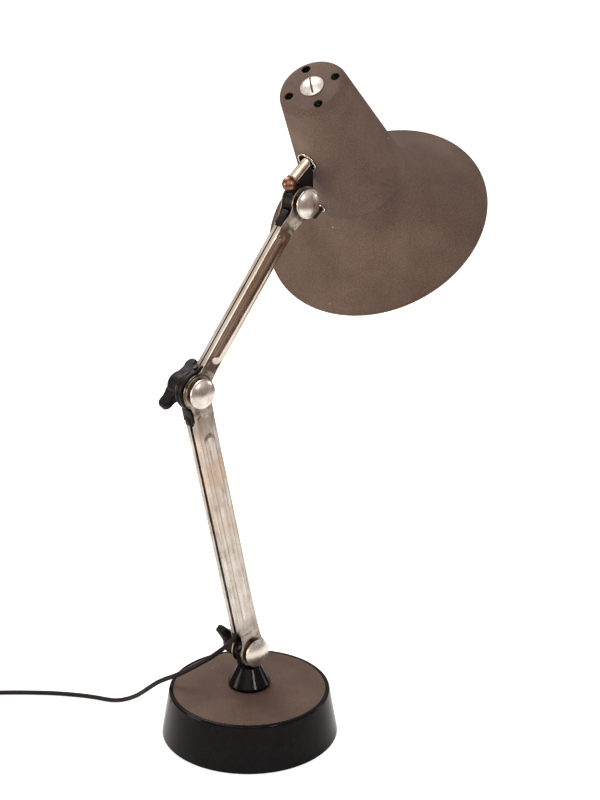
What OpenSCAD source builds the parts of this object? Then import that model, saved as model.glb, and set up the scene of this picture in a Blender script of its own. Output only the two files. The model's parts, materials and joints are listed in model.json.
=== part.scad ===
// Jointed architect desk lamp: weighted round base, two pressed rail arms, spun shade.
// Origin at the centre of the base's underside, +Z up, all arm hinges along Y.

/* [Base] */
// Diameter of the moulded base at the floor
base_d = 170; // [140:1:220]
// Diameter of the base at its top rim
base_top_d = 155.6; // [130:0.1:200]
// Height of the top rim
base_h = 47.4; // [40:0.1:70]
// Wall of the moulded base
base_wall = 4; // [3:0.1:6]
// Width of the rim round the cover
rim_w = 4.1; // [3:0.1:8]
// Rise of the cover's centre above its edge
cover_rise = 3.6; // [1:0.1:8]
// Sheet of the cover
cover_t = 1.2; // [0.8:0.1:2]
// Width of the ledge that the cover lies on
ledge_w = 3.7; // [2:0.1:6]
// Thickness of the ledge
ledge_t = 3.2; // [2:0.1:5]
// Diameter of the cast ballast
ballast_d = 120; // [90:1:125]
// Thickness of the felt pad
felt_t = 1.5; // [1:0.1:4]
// Thickness of the bottom plate
plate_t = 2.5; // [1.5:0.1:4]

/* [Post] */
// Diameter of the post's foot
foot_d = 40.8; // [34:0.1:60]
// Diameter of the post under its hinge
neck_d = 22.6; // [18:0.1:28]
// Height of the post's cone
cone_h = 21.6; // [16:0.1:40]
// Height of the base hinge over the post's foot
pivot_rise = 37.9; // [37:0.1:60]
// Diameter of the spindle that the post turns on
spindle_d = 12; // [8:0.5:16]

/* [Hinges] */
// Diameter of the rounded arm ends
ear_d = 30.6; // [26:0.1:36]
// Diameter of the hinge bolts
bolt_d = 8; // [6:0.5:10]
// Diameter of the domed bolt heads
cap_d = 27.8; // [20:0.1:32]
// Height of the domed bolt heads with their collars
cap_h = 9; // [7:0.1:12]
// Height of the collar under a bolt head
cap_collar = 3.6; // [1:0.1:5]
// Thickness of the friction washers
washer_t = 1.15; // [0.8:0.05:1.6]
// Diameter of the friction washers
washer_d = 33.6; // [24:0.1:35]
// Diameter of the elbow block
block_d = 37; // [33:0.1:42]

/* [Knobs] */
// Diameter of a knob's hub
hub_d = 24; // [20:0.1:30]
// Length of a knob
knob_l = 19; // [16:0.1:26]
// Reach of a knob's wings from its axis
wing_reach = 26.5; // [22:0.1:30]
// Thickness of a wing
wing_t = 8; // [5:0.1:10]
// Turn of the base knob's wings
base_knob_turn = 132; // [0:1:359]
// Turn of the elbow knob's wings
elbow_knob_turn = 42; // [0:1:359]

/* [Lower arm] */
// Length between the base hinge and the elbow
lower_len = 288.2; // [230:0.1:350]
// Lean of the lower arm towards -X
lower_lean = 12.34; // [0:0.01:30]
// Width of the lower rails
lower_w = 22.8; // [20:0.1:28]
// Depth over both lower rails
lower_depth = 15.8; // [15:0.1:20]
// Sheet of the lower rails
lower_sheet = 1.2; // [0.8:0.05:1.5]
// Slot between the lower rails
lower_slot = 4; // [2:0.1:8]
// Width of the raised bead on a lower rail
bead_w = 7.5; // [4:0.1:12]

/* [Upper arm] */
// Length between the elbow and the head hinge
upper_len = 197.2; // [160:0.1:240]
// Lean of the upper arm towards +X
upper_lean = 39.87; // [0:0.01:60]
// Width of the upper rails
upper_w = 17.4; // [16:0.1:20]
// Sheet of the upper rails
upper_sheet = 1; // [0.6:0.05:1.2]
// Slot between the upper rails
upper_slot = 1.6; // [0.8:0.1:3]

/* [Head] */
// Rise of the swivel tube over the horizontal
tube_tilt = 37.66; // [0:0.01:60]
// Distance from the head hinge to the tube's axis
tube_rise = 21.7; // [20.5:0.1:26]
// Distance from the head hinge to the shade's axis along the tube
tube_reach = 68.3; // [60:0.1:84]
// Diameter of the swivel tube
tube_d = 10; // [8:0.1:12]
// Bore of the swivel tube
tube_bore = 7; // [5:0.1:7.5]
// Diameter of the ball nut on the tube's outer end
ball_d = 13.4; // [12:0.1:14]
// Diameter of the knuckle
knuckle_d = 29; // [24:0.1:30]

/* [Shade] */
// Turn of the shade about the swivel tube
shade_turn = 11.75; // [-60:0.01:60]
// Sheet of the shade
shade_t = 0.9; // [0.6:0.05:1.5]
// Diameter of the neck at its top
neck_top_d = 64.6; // [60:0.1:80]
// Diameter of the neck at its lower edge
neck_low_d = 97.6; // [88:0.1:110]
// Height of the neck's top over the tube
neck_up = 62.4; // [52:0.1:80]
// Depth of the neck's lower edge under the tube
neck_down = 68; // [60:0.1:90]
// Radius of the neck's top edge
neck_edge_r = 8; // [3:0.1:12]
// Diameter of the brim's opening
brim_d = 218; // [180:0.1:260]
// Depth of the brim's edge under the tube
brim_down = 141; // [132:0.1:170]
// Hollow of the brim's flare
brim_hollow = 9; // [3:0.1:14]
// Diameter of the vent holes
vent_d = 7; // [4:0.1:9]
// Diameter of the ring that the vent holes lie on
vent_ring_d = 44.8; // [38:0.1:46]
// Diameter of the slotted screw on top
top_screw_d = 22; // [14:0.1:26]
// Opening of the ring round the tube
grommet_bore = 16; // [13:0.1:18]

/* [Lamp] */
// Width of the strap bracket in the neck
strap_w = 16; // [12:0.1:20]
// Sheet of the strap bracket
strap_t = 2; // [1.5:0.1:3]
// Distance between the strap's legs
strap_gap = 22; // [18:0.1:26]
// Diameter of the lampholder
holder_d = 38; // [34:0.1:42]
// Length of the lampholder
holder_l = 38; // [30:0.1:44]
// Diameter of the bulb's glass
bulb_d = 60; // [45:0.1:62]
// Length of the bulb's glass out of the holder
bulb_l = 72; // [56:0.1:76]

/* [Cord] */
// Diameter of the flex
cord_d = 4.6; // [4:0.1:6]
// Diameter of the coil at the middle of its turns
coil_d = 52; // [46:1:60]
// Layers of turns in the coil
coil_layers = 3; // [2:1:4]
// Columns of turns in the coil
coil_columns = 3; // [2:1:4]
// Width of the plug
plug_w = 26; // [22:0.1:36]
// Length of the plug's body
plug_l = 34; // [26:0.1:40]
// Thickness of the plug's body
plug_t = 14; // [13:0.1:18]

/* [Hidden] */
$fn = 64;
steel = "#b9b4ac";
black = "#1f1a1d";
crinkle = "#6b5a4f";
brass = "#b08d57";

// Clearances: run = round a turning shaft, face = between flat faces, fit = between still pieces
run = 0.05;
face = 0.1;
fit = 0.05;
cut = 1; // how far a cutting shape runs past a face

// Levels in the base
shell_z = 0.6;
plate_z = felt_t;
plate_top = plate_z + plate_t;
cover_sink = 0.4;
seat_z = base_h - cover_sink - cover_t - fit;
seat_r = base_top_d / 2 - rim_w;
cover_r = seat_r - 0.2;
ledge_r = seat_r - ledge_w;
ledge_low = seat_z - ledge_t;
cover_flat_r = foot_d / 2 + 1.6;
cover_z = base_h - cover_sink + cover_rise;
rim_r = 2.5;
plate_r = base_d / 2 - 2.8;
ballast_top = ledge_low - fit;
ballast_low = 14;
flange_t = 5;
flange_r = ledge_r + 3;
hub_r = 22;
spindle_r = spindle_d / 2;
spin_washer_t = 2;
nut_h = 6.5;
bush_r = spindle_r + 3;
bush_flange_r = spindle_r + 7;
bush_flange_t = 1.5;
stud_ring_r = 45;
stud_r = 5.5;
screw_r = 2.45;
plate_boss_r = 7;
plate_boss_ring_r = 46;
plate_screw_r = 1.95;

// Post and hinge stack, outwards from the middle plane
post_z = cover_z + face;
pivot_z = post_z + pivot_rise;
post_lip = 4;
ear_r = ear_d / 2;
bolt_r = bolt_d / 2;
lower_half = lower_depth / 2;
lower_in = lower_half - lower_sheet;
upper_half = lower_in - washer_t - 2 * face;
upper_in = upper_half - upper_sheet;
head_in = lower_half - upper_sheet;
knuckle_half = head_in - washer_t - 2 * face;
post_half = upper_half;
block_half = upper_in - face;
cap_rim = 1.8;
cap_collar_r = cap_d / 2 - 1.3;
base_knob_y = lower_half + 1.6;
elbow_knob_y = lower_half + 0.6;
insert_r = bolt_r + 1.6;

// Hinge places
elbow = [-lower_len * sin(lower_lean), 0, pivot_z + lower_len * cos(lower_lean)];
head_pivot = elbow + upper_len * [sin(upper_lean), 0, cos(upper_lean)];

// Rails
lower_flange_start = 22;
exit_flange_start = 28;
lower_flange_end = lower_len - 27;
upper_flange_start = 22;
splay_start = upper_len - 25;
splay_end = upper_len - 16;
rivet_r = 1.6;
rivet_off = 5;
upper_rivet_off = 3.2;
groove_r = 10.6;
lower_block_end = 31;
block_clear = 0.3;
lower_rivet_z = lower_len - 25.5;
elbow_rivet_z = 26;
spacer_low = upper_len - 43;
spacer_rivet_z = upper_len - 38.5;
spacer_clear = 0.8; // between the spacer's hollow and the knuckle
spacer_high = upper_len - knuckle_d / 2 + 0.2; // clears the saddle at full tilt
lead_r = cord_d / 2;
lower_lead_x = 6.3;
upper_lead_x = upper_w / 2 - upper_sheet - lead_r - 0.15;
lower_lead_top = lower_len - 36;
upper_lead_low = 36;
upper_lead_top = upper_len - 27;
lead_bend_r = groove_r + lead_r + 0.3;
head_lead_r = knuckle_d / 2 + lead_r + 1;
tongue_low = [-block_d / 2 + 3, 8];
tongue_high = [-upper_w / 2 - 1.2, 21.5];
tongue_slope = atan((tongue_high[0] - tongue_low[0]) / (tongue_high[1] - tongue_low[1]));
tongue_face = [0.3 * tongue_low[0] + 0.7 * tongue_high[0], 0, 0.3 * tongue_low[1] + 0.7 * tongue_high[1]];

// Head: the shade frame's +Z runs up its axis, +X runs inwards along the swivel tube
tube_r = tube_d / 2;
strap_half = strap_gap / 2;
tube_in = strap_half + strap_t + 6;
ball_x = 7.5;
grommet_r = grommet_bore / 2;
eyelet_down = 60;
ring_wall = 0.8;
eyelet_bore_r = lead_r + 0.25;
neck_edge_z = neck_up - neck_edge_r;
neck_slope = (neck_low_d - neck_top_d) / 2 / (neck_edge_z + neck_down);
wall_lean = atan(neck_slope);
strap_top = neck_up - shade_t - 0.2;
strap_low = -17;
holder_top = strap_low - strap_t - fit;
holder_low = holder_top - holder_l;
cap_bulb_r = 13;
cap_bulb_l = 22;
bulb_top = holder_low + 2;
brim_top = neck_down - 2.6;
brim_throat_r = neck_low_d / 2 - 4.5;
brim_lip_r = neck_r(-brim_top) - shade_t - 0.25;
top_screw_r = 3;

// Route of the flex from the lower arm, over the rim and along the floor to the coil
route = [[-15, 0, 110], [-20, 0.4, 105.2], [-25, 2, 100.4], [-30.6, 7, 94], [-36, 15, 85.6],
    [-41.5, 25.6, 76.4], [-47, 38, 66.4], [-51.6, 50, 57.6], [-54.6, 59.6, 51.6], [-57.6, 69, 45],
    [-60, 79, 36.4], [-61.4, 89, 27.4], [-62.6, 100, 18.6], [-64.4, 112, 11], [-67, 124, 5.4],
    [-70.6, 136, 2.7], [-76, 147, 2.4], [-83, 158, 2.4], [-91, 168.6, 2.4], [-100, 179.4, 2.4],
    [-110, 190, 2.4], [-121, 200.6, 2.4], [-132, 210.6, 2.4], [-143, 220, 2.4],
    [-155, 229.6, 2.4], [-168, 238.4, 2.4], [-183, 246.4, 2.5]];
coil_centre = [-212, 226];
coil_lift = 0.95;
coil_r = coil_d / 2;
coil_half_w = coil_columns * cord_d / 2;
coil_h = coil_layers * cord_d;
tie_angle = 300;
tie_t = 0.8;
tie_w = 7;
// Tail of the flex, from the coil's outer turn into the plug
tail = [[-247, 231, 7.4], [-249, 221, 6.3], [-250.4, 211, 5.5], [-251.2, 201, 5.3], [-251.7, 191, 6],
    [-252, 181, 7.1]];
plug_pos = [-252, 182, plug_t / 2 + 0.1];
plug_turn = -92;
relief_l = 20;
pin_r = 2;
pin_l = 19;
pin_gap = 19;
ring_sides = 8;

function arc(c, r, a0, a1, n = 6) =
    [for (i = [0:n]) let (a = a0 + (a1 - a0) * i / n) c + r * [cos(a), sin(a)]];
// Radius of an arc from its half chord and its height
function arc_radius(half, rise) = (half * half + rise * rise) / (2 * rise);
// Outer radius of the neck at a height in the shade's frame
function neck_r(z) = neck_top_d / 2 + (neck_edge_z - z) * neck_slope;
// Arc between two points, bowed to the left of the way from a to b
function bow(a, b, rise, n = 10) =
    let (half = norm(b - a) / 2, r = arc_radius(half, rise), u = (b - a) / (2 * half),
        left = [-u[1], u[0]], c = (a + b) / 2 - (r - rise) * left, h = asin(half / r),
        m = atan2(left[1], left[0]))
    arc(c, r, m + h, m - h, n);

// Places
module at_lower() translate([0, 0, pivot_z]) rotate([0, -lower_lean, 0]) children();
module at_elbow_lower() at_lower() translate([0, 0, lower_len]) children();
module at_upper() translate(elbow) rotate([0, upper_lean, 0]) children();
module at_tube() translate(head_pivot) rotate([0, -tube_tilt, 0]) children();
module at_shade()
    at_tube() translate([tube_reach, 0, tube_rise]) rotate([shade_turn, 0, 0]) children();
// Turns a cylinder along Z to run from y0 to y1 along Y
module along_y(y0, y1, r) translate([0, y1, 0]) rotate([90, 0, 0]) cylinder(r = r, h = y1 - y0);
module ring_y(y0, y1, r, bore) difference() {
    along_y(y0, y1, r);
    along_y(y0 - cut, y1 + cut, bore);
}
module both_sides() {
    children();
    mirror([0, 1, 0]) children();
}
// Extrudes an outline drawn in X and Z, from -half to half along Y
module plate_y(half, points)
    translate([0, half, 0]) rotate([90, 0, 0]) linear_extrude(2 * half) polygon(points);

// Sweeps a round section along points; the rings stay square to the way through
function unit(v) = v / norm(v);
function way(p, i) = unit(p[min(i + 1, len(p) - 1)] - p[max(i - 1, 0)]);
function side_of(w) = unit(cross(w, abs(w[2]) > 0.9 ? [1, 0, 0] : [0, 0, 1]));
function ring(p, i, r, n) = let (w = way(p, i), s = side_of(w), t = cross(s, w))
    [for (k = [0:n - 1]) p[i] + r * (cos(360 * k / n) * s + sin(360 * k / n) * t)];
module tube_along(p, r, n = ring_sides) {
    rings = [for (i = [0:len(p) - 1]) each ring(p, i, r, n)];
    last = (len(p) - 1) * n;
    sides = [for (i = [0:len(p) - 2], k = [0:n - 1]) let (a = i * n + k, b = i * n + (k + 1) % n)
        [a, b, b + n, a + n]];
    polyhedron(rings, concat([[for (k = [n - 1:-1:0]) k]], sides, [[for (k = [0:n - 1]) last + k]]));
}

// ---- Base ----
function cover_arc(z) = let (run_w = cover_r - cover_flat_r, r = arc_radius(run_w, cover_rise))
    arc([cover_flat_r, z - r], r, 90, 90 - asin(run_w / r), 8);

module base_shell() color(black) rotate_extrude() polygon(concat(
    [[base_d / 2 - 1, shell_z], [base_d / 2, shell_z + 1]],
    arc([base_top_d / 2 - rim_r, base_h - rim_r], rim_r, 0, 90),
    arc([seat_r + 1, base_h - 1], 1, 90, 180, 3),
    [[seat_r, seat_z], [ledge_r, seat_z], [ledge_r, ledge_low],
        [base_top_d / 2 - base_wall, ledge_low], [plate_r - 3, plate_top + fit],
        [plate_r + fit, plate_top + fit], [plate_r + fit, shell_z]]));

module base_cover() color(crinkle) difference() {
    union() {
        rotate_extrude() polygon(concat([[0, cover_z]], cover_arc(cover_z),
            [for (i = [8:-1:0]) cover_arc(cover_z - cover_t)[i]], [[0, cover_z - cover_t]]));
        for (a = [30:120:270]) rotate(a) translate([stud_ring_r, 0, ballast_top + face])
            cylinder(r = stud_r, h = cover_z - cover_t - 0.6 - ballast_top - face);
    }
    translate([0, 0, ballast_top]) cylinder(r = spindle_r + 0.4, h = cover_z);
    for (a = [30:120:270]) rotate(a) translate([stud_ring_r, 0, ballast_top - cut])
        cylinder(r = screw_r + fit, h = 6.5 + cut);
}

module ballast() color("#4a4746") difference() {
    union() {
        translate([0, 0, ballast_low]) cylinder(d = ballast_d, h = ballast_top - ballast_low);
        translate([0, 0, ballast_top - flange_t]) cylinder(r = flange_r, h = flange_t);
        cylinder_from(ballast_top - cut, cover_z - cover_t - face, hub_r);
        for (a = [90:120:330]) rotate(a) translate([plate_boss_ring_r, 0, 0])
            cylinder_from(plate_top + fit, ballast_low + cut, plate_boss_r);
    }
    cylinder_from(0, cover_z, bush_r + fit);
    cylinder_from(cover_z - cover_t - face - bush_flange_t - fit, cover_z, bush_flange_r + fit);
    for (a = [30:120:270]) rotate(a) translate([stud_ring_r, 0, 0]) {
        cylinder_from(0, ballast_top + cut, screw_r + 0.3);
        cylinder_from(0, ballast_top - 11, stud_r + 0.2);
    }
    for (a = [90:120:330]) rotate(a) translate([plate_boss_ring_r, 0, 0])
        cylinder_from(0, plate_top + 10, plate_screw_r + fit);
}
module cylinder_from(z0, z1, r) translate([0, 0, z0]) cylinder(r = r, h = z1 - z0);

module ballast_screws() color(steel) for (a = [30:120:270]) rotate(a)
    translate([stud_ring_r, 0, 0]) {
        cylinder_from(ballast_top - 15, ballast_top - 11 - fit, stud_r - 0.8);
        cylinder_from(ballast_top - 12, ballast_top + 6, screw_r);
    }

module bottom_plate() color("#7a6650") difference() {
    cylinder_from(plate_z, plate_top, plate_r);
    for (a = [90:120:330]) rotate(a) translate([plate_boss_ring_r, 0, 0]) {
        cylinder_from(0, plate_top + cut, plate_screw_r + 0.2);
        cylinder_from(0, plate_z + 1.3, 3.8);
    }
}

module plate_screws() color(steel) for (a = [90:120:330]) rotate(a)
    translate([plate_boss_ring_r, 0, 0]) {
        cylinder_from(plate_z + face, plate_z + 1.25, 3.6);
        cylinder_from(plate_z + 0.5, plate_top + 9, plate_screw_r);
    }

module felt_pad() color("#31443a") cylinder_from(0, felt_t, plate_r - 2);

module spindle_bush() color(brass) difference() {
    union() {
        cylinder_from(ballast_low, cover_z - cover_t - 0.5, bush_r);
        cylinder_from(cover_z - cover_t - face - bush_flange_t, cover_z - cover_t - face,
            bush_flange_r);
    }
    cylinder_from(0, cover_z, spindle_r + run);
}

// ---- Post ----
module pivot_post() color(black) difference() {
    union() {
        translate([0, 0, post_z]) rotate_extrude() polygon([[0, 0], [foot_d / 2 - 0.8, 0],
            [foot_d / 2, 0.8], [foot_d / 2, post_lip], [neck_d / 2, cone_h - 0.8],
            [neck_d / 2 - 0.8, cone_h], [0, cone_h]]);
        translate([-9, -post_half, post_z + cone_h - 3]) cube([18, 2 * post_half, pivot_rise - cone_h + 3]);
        translate([0, 0, pivot_z]) along_y(-post_half, post_half, ear_r - 0.8);
    }
    translate([0, 0, post_z - cut]) cylinder(r = spindle_r + run, h = cone_h - 5);
    translate([0, 0, pivot_z]) along_y(-lower_half, lower_half, bolt_r + run);
}

module spindle() color(steel)
    cylinder_from(ballast_low - spin_washer_t - nut_h - 0.4, post_z + cone_h - 7, spindle_r);
module spindle_washer() color(steel) difference() {
    cylinder_from(ballast_low - face - spin_washer_t, ballast_low - face, spindle_r * 2);
    cylinder_from(0, ballast_low + cut, spindle_r + run);
}
module spindle_nut() color(steel) difference() {
    translate([0, 0, ballast_low - 2 * face - spin_washer_t - nut_h])
        cylinder(r = spindle_r * 1.72, h = nut_h, $fn = 6);
    cylinder_from(0, ballast_low, spindle_r + run);
}

// ---- Hinge hardware, drawn round the hinge's axis ----
// Coach bolt with a domed head on the -Y side
module hinge_bolt(tip_y) color("#c9b9a6") {
    head_y = -lower_half - face;
    rim_y = head_y - cap_collar - cap_rim;
    dome_r = arc_radius(cap_d / 2 - 1, cap_h - cap_collar - cap_rim);
    along_y(head_y - cap_collar, head_y, cap_collar_r);
    along_y(rim_y, head_y - cap_collar, cap_d / 2);
    intersection() {
        translate([0, head_y - cap_h + dome_r, 0]) sphere(r = dome_r, $fn = 96);
        along_y(head_y - cap_h - cut, rim_y + cap_rim / 2, cap_d / 2 - 1);
    }
    along_y(rim_y + cap_rim / 2, tip_y, bolt_r);
}
module washer_pair(y0, d) color(brass) both_sides() ring_y(y0, y0 + washer_t, d / 2, bolt_r + run);
// Two-winged clamping knob; its wings lean outwards
module wing_knob(turn, knob_y) color(black) difference() {
    union() {
        along_y(knob_y, knob_y + knob_l, hub_d / 2);
        for (a = [0, 180]) rotate([0, -turn - a, 0]) intersection() {
            translate([0, 0, -wing_t / 2]) linear_extrude(wing_t) polygon([[0, knob_y + 2],
                [hub_d / 2, knob_y + 2], [wing_reach - 3, knob_y + 9.5], [wing_reach, knob_y + 11.5],
                [wing_reach, knob_y + 16], [wing_reach - 3, knob_y + knob_l],
                [0, knob_y + knob_l - 1]]);
            along_y(knob_y, knob_y + knob_l, wing_reach);
        }
    }
    along_y(knob_y - cut, knob_y + knob_l - 5, insert_r + fit);
}
module knob_insert(knob_y) color(brass)
    ring_y(knob_y - 0.5, knob_y + knob_l - 5.2, insert_r, bolt_r + run);

module base_hinge_bolt() translate([0, 0, pivot_z]) hinge_bolt(base_knob_y + knob_l - 5.6);
module base_hinge_washers() translate([0, 0, pivot_z]) washer_pair(post_half + face, ear_d);
module base_knob() translate([0, 0, pivot_z]) wing_knob(base_knob_turn, base_knob_y);
module base_knob_insert() translate([0, 0, pivot_z]) knob_insert(base_knob_y);
module elbow_bolt() translate(elbow) hinge_bolt(elbow_knob_y + knob_l - 5.6);
module elbow_washers() translate(elbow) washer_pair(upper_half + face, washer_d);
module elbow_knob() translate(elbow) wing_knob(elbow_knob_turn, elbow_knob_y);
module elbow_knob_insert() translate(elbow) knob_insert(elbow_knob_y);
module head_bolt() translate(head_pivot) hinge_bolt(lower_half + 8);
module head_washers() translate(head_pivot) washer_pair(knuckle_half + face, knuckle_d + 1);
module head_nut() color(steel) translate(head_pivot) difference() {
    translate([0, lower_half + face, 0]) rotate([-90, 0, 0]) cylinder(r = bolt_r * 1.8, h = 6.5, $fn = 6);
    along_y(0, 2 * lower_half + cut, bolt_r + run);
}

// ---- Lower arm ----
// Half a channel pair on the -Y side, open towards +Y
module channel(w, half, sheet, slot, z0, z1) difference() {
    translate([-w / 2, -half, z0]) cube([w, half - slot / 2, z1 - z0]);
    translate([sheet - w / 2, sheet - half, z0 - cut]) cube([w - 2 * sheet, half, z1 - z0 + 2 * cut]);
}
module lower_rail() color("#c9c3b9") difference() {
    union() {
        for (z = [0, lower_len]) translate([0, 0, z]) along_y(-lower_half, -lower_in, ear_r);
        translate([-lower_w / 2, -lower_half, 0]) cube([lower_w, lower_sheet, lower_len]);
        channel(lower_w, lower_half, lower_sheet, lower_slot, lower_flange_start, lower_flange_end);
        translate([0, 0, 31]) along_y(-lower_half - 0.5, -lower_in, bead_w / 2);
        translate([0, 0, lower_len - 42]) along_y(-lower_half - 0.5, -lower_in, bead_w / 2);
        translate([-bead_w / 2, -lower_half - 0.5, 31]) cube([bead_w, 1, lower_len - 73]);
    }
    for (z = [0, lower_len]) translate([0, 0, z])
        along_y(-lower_half - cut, cut, bolt_r + run);
    translate([-rivet_off, 0, lower_rivet_z]) along_y(-lower_half - cut, cut, rivet_r + run);
    translate([-lower_w, -lower_in, lower_flange_start - cut])
        cube([lower_w, lower_in, exit_flange_start - lower_flange_start + cut]);
}
module lower_rail_front() at_lower() lower_rail();
module lower_rail_back() at_lower() mirror([0, 1, 0]) lower_rail();

// Guide block between the lower rails, hollowed round the elbow block
module lower_block() color(black) at_elbow_lower() difference() {
    plate_y(lower_in - face, [[-lower_w / 2 - 1.6, -12], [-lower_w / 2 - 1.6, -24],
        [-lower_w / 2 - 3.1, -26.5], [-lower_w / 2 - 2.4, -lower_block_end],
        [-lower_w / 2 + lower_sheet + 0.6, -lower_block_end - 1],
        [lower_lead_x - lead_r - 0.4, -lower_block_end - 1], [lower_lead_x - lead_r - 0.4, -12]]);
    along_y(-lower_half, lower_half, block_d / 2 + block_clear);
    // the rails' flanges pass on both sides of the block's foot
    both_sides() translate([-lower_w, -lower_half, -lower_block_end - 2]) cube([
        lower_w / 2 + lower_sheet + 0.15, lower_half - lower_slot / 2 + 0.1,
        lower_block_end + lower_flange_end - lower_len + 2.1]);
    translate([-rivet_off, 0, lower_rivet_z - lower_len])
        along_y(-lower_half, lower_half, rivet_r + run);
}
module lower_rivets() color(steel) at_lower() translate([-rivet_off, 0, lower_rivet_z]) {
    along_y(-lower_half - 0.5, lower_half + 0.5, rivet_r);
    both_sides() along_y(-lower_half - 0.9, -lower_half, rivet_r * 1.6);
}

// ---- Elbow and upper arm ----
module upper_rail() color("#cfc6b8") difference() {
    union() {
        along_y(-upper_half, -upper_in, ear_r);
        translate([0, 0, upper_len]) along_y(-lower_half, -head_in, ear_r);
        translate([-upper_w / 2, -upper_half, 0]) cube([upper_w, upper_sheet, splay_start]);
        channel(upper_w, upper_half, upper_sheet, upper_slot, upper_flange_start, splay_start - 6);
        translate([-upper_w / 2, -lower_half, splay_end]) cube([upper_w, upper_sheet, upper_len - splay_end]);
        translate([-upper_w / 2, 0, 0]) rotate([90, 0, 90]) linear_extrude(upper_w) polygon([
            [-upper_half, splay_start - 1], [-upper_in, splay_start - 1], [-upper_in, splay_start],
            [-head_in, splay_end], [-head_in, splay_end + 1], [-lower_half, splay_end + 1],
            [-lower_half, splay_end - 0.3], [-upper_half, splay_start - 0.3]]);
    }
    for (z = [0, upper_len]) translate([0, 0, z]) along_y(-lower_half - cut, cut, bolt_r + run);
    for (z = [elbow_rivet_z, spacer_rivet_z]) translate([-upper_rivet_off, 0, z])
        along_y(-lower_half, cut, rivet_r + run);
}
module upper_rail_front() at_upper() upper_rail();
module upper_rail_back() at_upper() mirror([0, 1, 0]) upper_rail();

// Round block between the upper rails' ends, with a tongue up one side of the slot
module elbow_block() color(black) at_upper() difference() {
    union() {
        along_y(-block_half, block_half, block_d / 2);
        plate_y(block_half, [tongue_low, tongue_high, [-upper_w / 2 + upper_sheet + 0.2, 22],
            [-upper_w / 2 + upper_sheet + 0.2, 31], [upper_lead_x - lead_r - 0.3, 31],
            [upper_lead_x - lead_r - 0.3, 8]]);
    }
    along_y(-lower_half, lower_half, bolt_r + run);
    // groove that the lead runs in, round the inside of the bend
    difference() {
        along_y(-lead_r - 0.4, lead_r + 0.4, block_d / 2 + cut);
        along_y(-lower_half, lower_half, groove_r);
        translate([-block_d - upper_w / 2 + 5, -lower_half, -block_d])
            cube([block_d, lower_depth, 2 * block_d]);
    }
    both_sides() translate([-upper_w, -upper_half, 22.1])
        cube([upper_w / 2 + upper_sheet + 0.1, upper_half - upper_slot / 2 + 0.05, 12]);
    translate([-upper_rivet_off, 0, elbow_rivet_z]) along_y(-lower_half, lower_half, rivet_r + run);
    at_tongue_face() cylinder_from(-cut, 6.5, 1.3);
}
// Turns +Z to point into the tongue's sloping face, square to it
module at_tongue_face() translate(tongue_face) rotate([0, 90 + tongue_slope, 0]) children();
module block_screw() color(steel) at_upper() at_tongue_face() {
    cylinder_from(-1.7, -fit, 2.3);
    cylinder_from(-1, 6, 1.25);
}
// Tongue between the upper rails under the head, hollowed round the knuckle
module head_spacer() color(black) at_upper() difference() {
    plate_y(upper_in - face, [[-upper_w / 2 + upper_sheet + 0.2, spacer_low],
        [upper_lead_x - lead_r - 0.3, spacer_low], [upper_lead_x - lead_r - 0.3, spacer_high],
        [-upper_w / 2 - 1.2, spacer_high], [-upper_w / 2 - 1.2, splay_start - 3],
        [-upper_w / 2 + upper_sheet + 0.2, splay_start - 5]]);
    translate([0, 0, upper_len]) along_y(-lower_half, lower_half, knuckle_d / 2 + spacer_clear);
    translate([-upper_rivet_off, 0, spacer_rivet_z]) along_y(-lower_half, lower_half, rivet_r + run);
}
module upper_rivets() color(steel) at_upper() for (z = [elbow_rivet_z, spacer_rivet_z])
    translate([-upper_rivet_off, 0, z]) {
        along_y(-upper_half - 0.2, upper_half + 0.2, rivet_r);
        both_sides() along_y(-upper_half - 0.5, -upper_half, rivet_r * 1.4);
    }

// ---- Leads inside the arms ----
function lerp(a, b, t) = a + (b - a) * t;
// Point in an arm's frame to the lamp's frame
function turned(p, a) = [p[0] * cos(a) + p[2] * sin(a), p[1], p[2] * cos(a) - p[0] * sin(a)];
function in_lower(p) = [0, 0, pivot_z] + turned(p, -lower_lean);
function in_upper(p) = elbow + turned(p, upper_lean);
function in_tube(p) = head_pivot + turned(p, -tube_tilt);
function in_shade(p) = in_tube([tube_reach + p[0],
    p[1] * cos(shade_turn) - p[2] * sin(shade_turn),
    tube_rise + p[1] * sin(shade_turn) + p[2] * cos(shade_turn)]);
lower_lead_path = concat([route[0], route[0] + 4 * unit(route[0] - route[1])],
    [for (p = [[-2.6, 0, 29.4], [1.2, 0, 35], [4.3, 0, 43], [lower_lead_x, 0, 56],
        [lower_lead_x, 0, lower_lead_top]]) in_lower(p)]);
// round the inside of the elbow, from the lower arm's side to the upper arm's
elbow_lead_path = concat(
    [for (z = [lower_lead_top, lower_lead_top + 5, lower_len - 22]) in_lower([lower_lead_x, 0, z])],
    [for (i = [0:5]) let (a = lerp(-62 + lower_lean, 66 - upper_lean, i / 5))
        elbow + (lead_bend_r + 1.4 * pow((i - 2.5) / 2.5, 2)) * [cos(a), 0, sin(a)]],
    [for (z = [20.5, 26, upper_lead_low]) in_upper([upper_lead_x, 0, z])]);
module lower_lead() color(black) tube_along(lower_lead_path, lead_r - 0.05);
module elbow_lead() color(black) tube_along(elbow_lead_path, lead_r - 0.05);
module upper_lead() color(black)
    tube_along([in_upper([upper_lead_x, 0, upper_lead_low]), in_upper([upper_lead_x, 0, upper_lead_top])],
        lead_r - 0.05);
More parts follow.
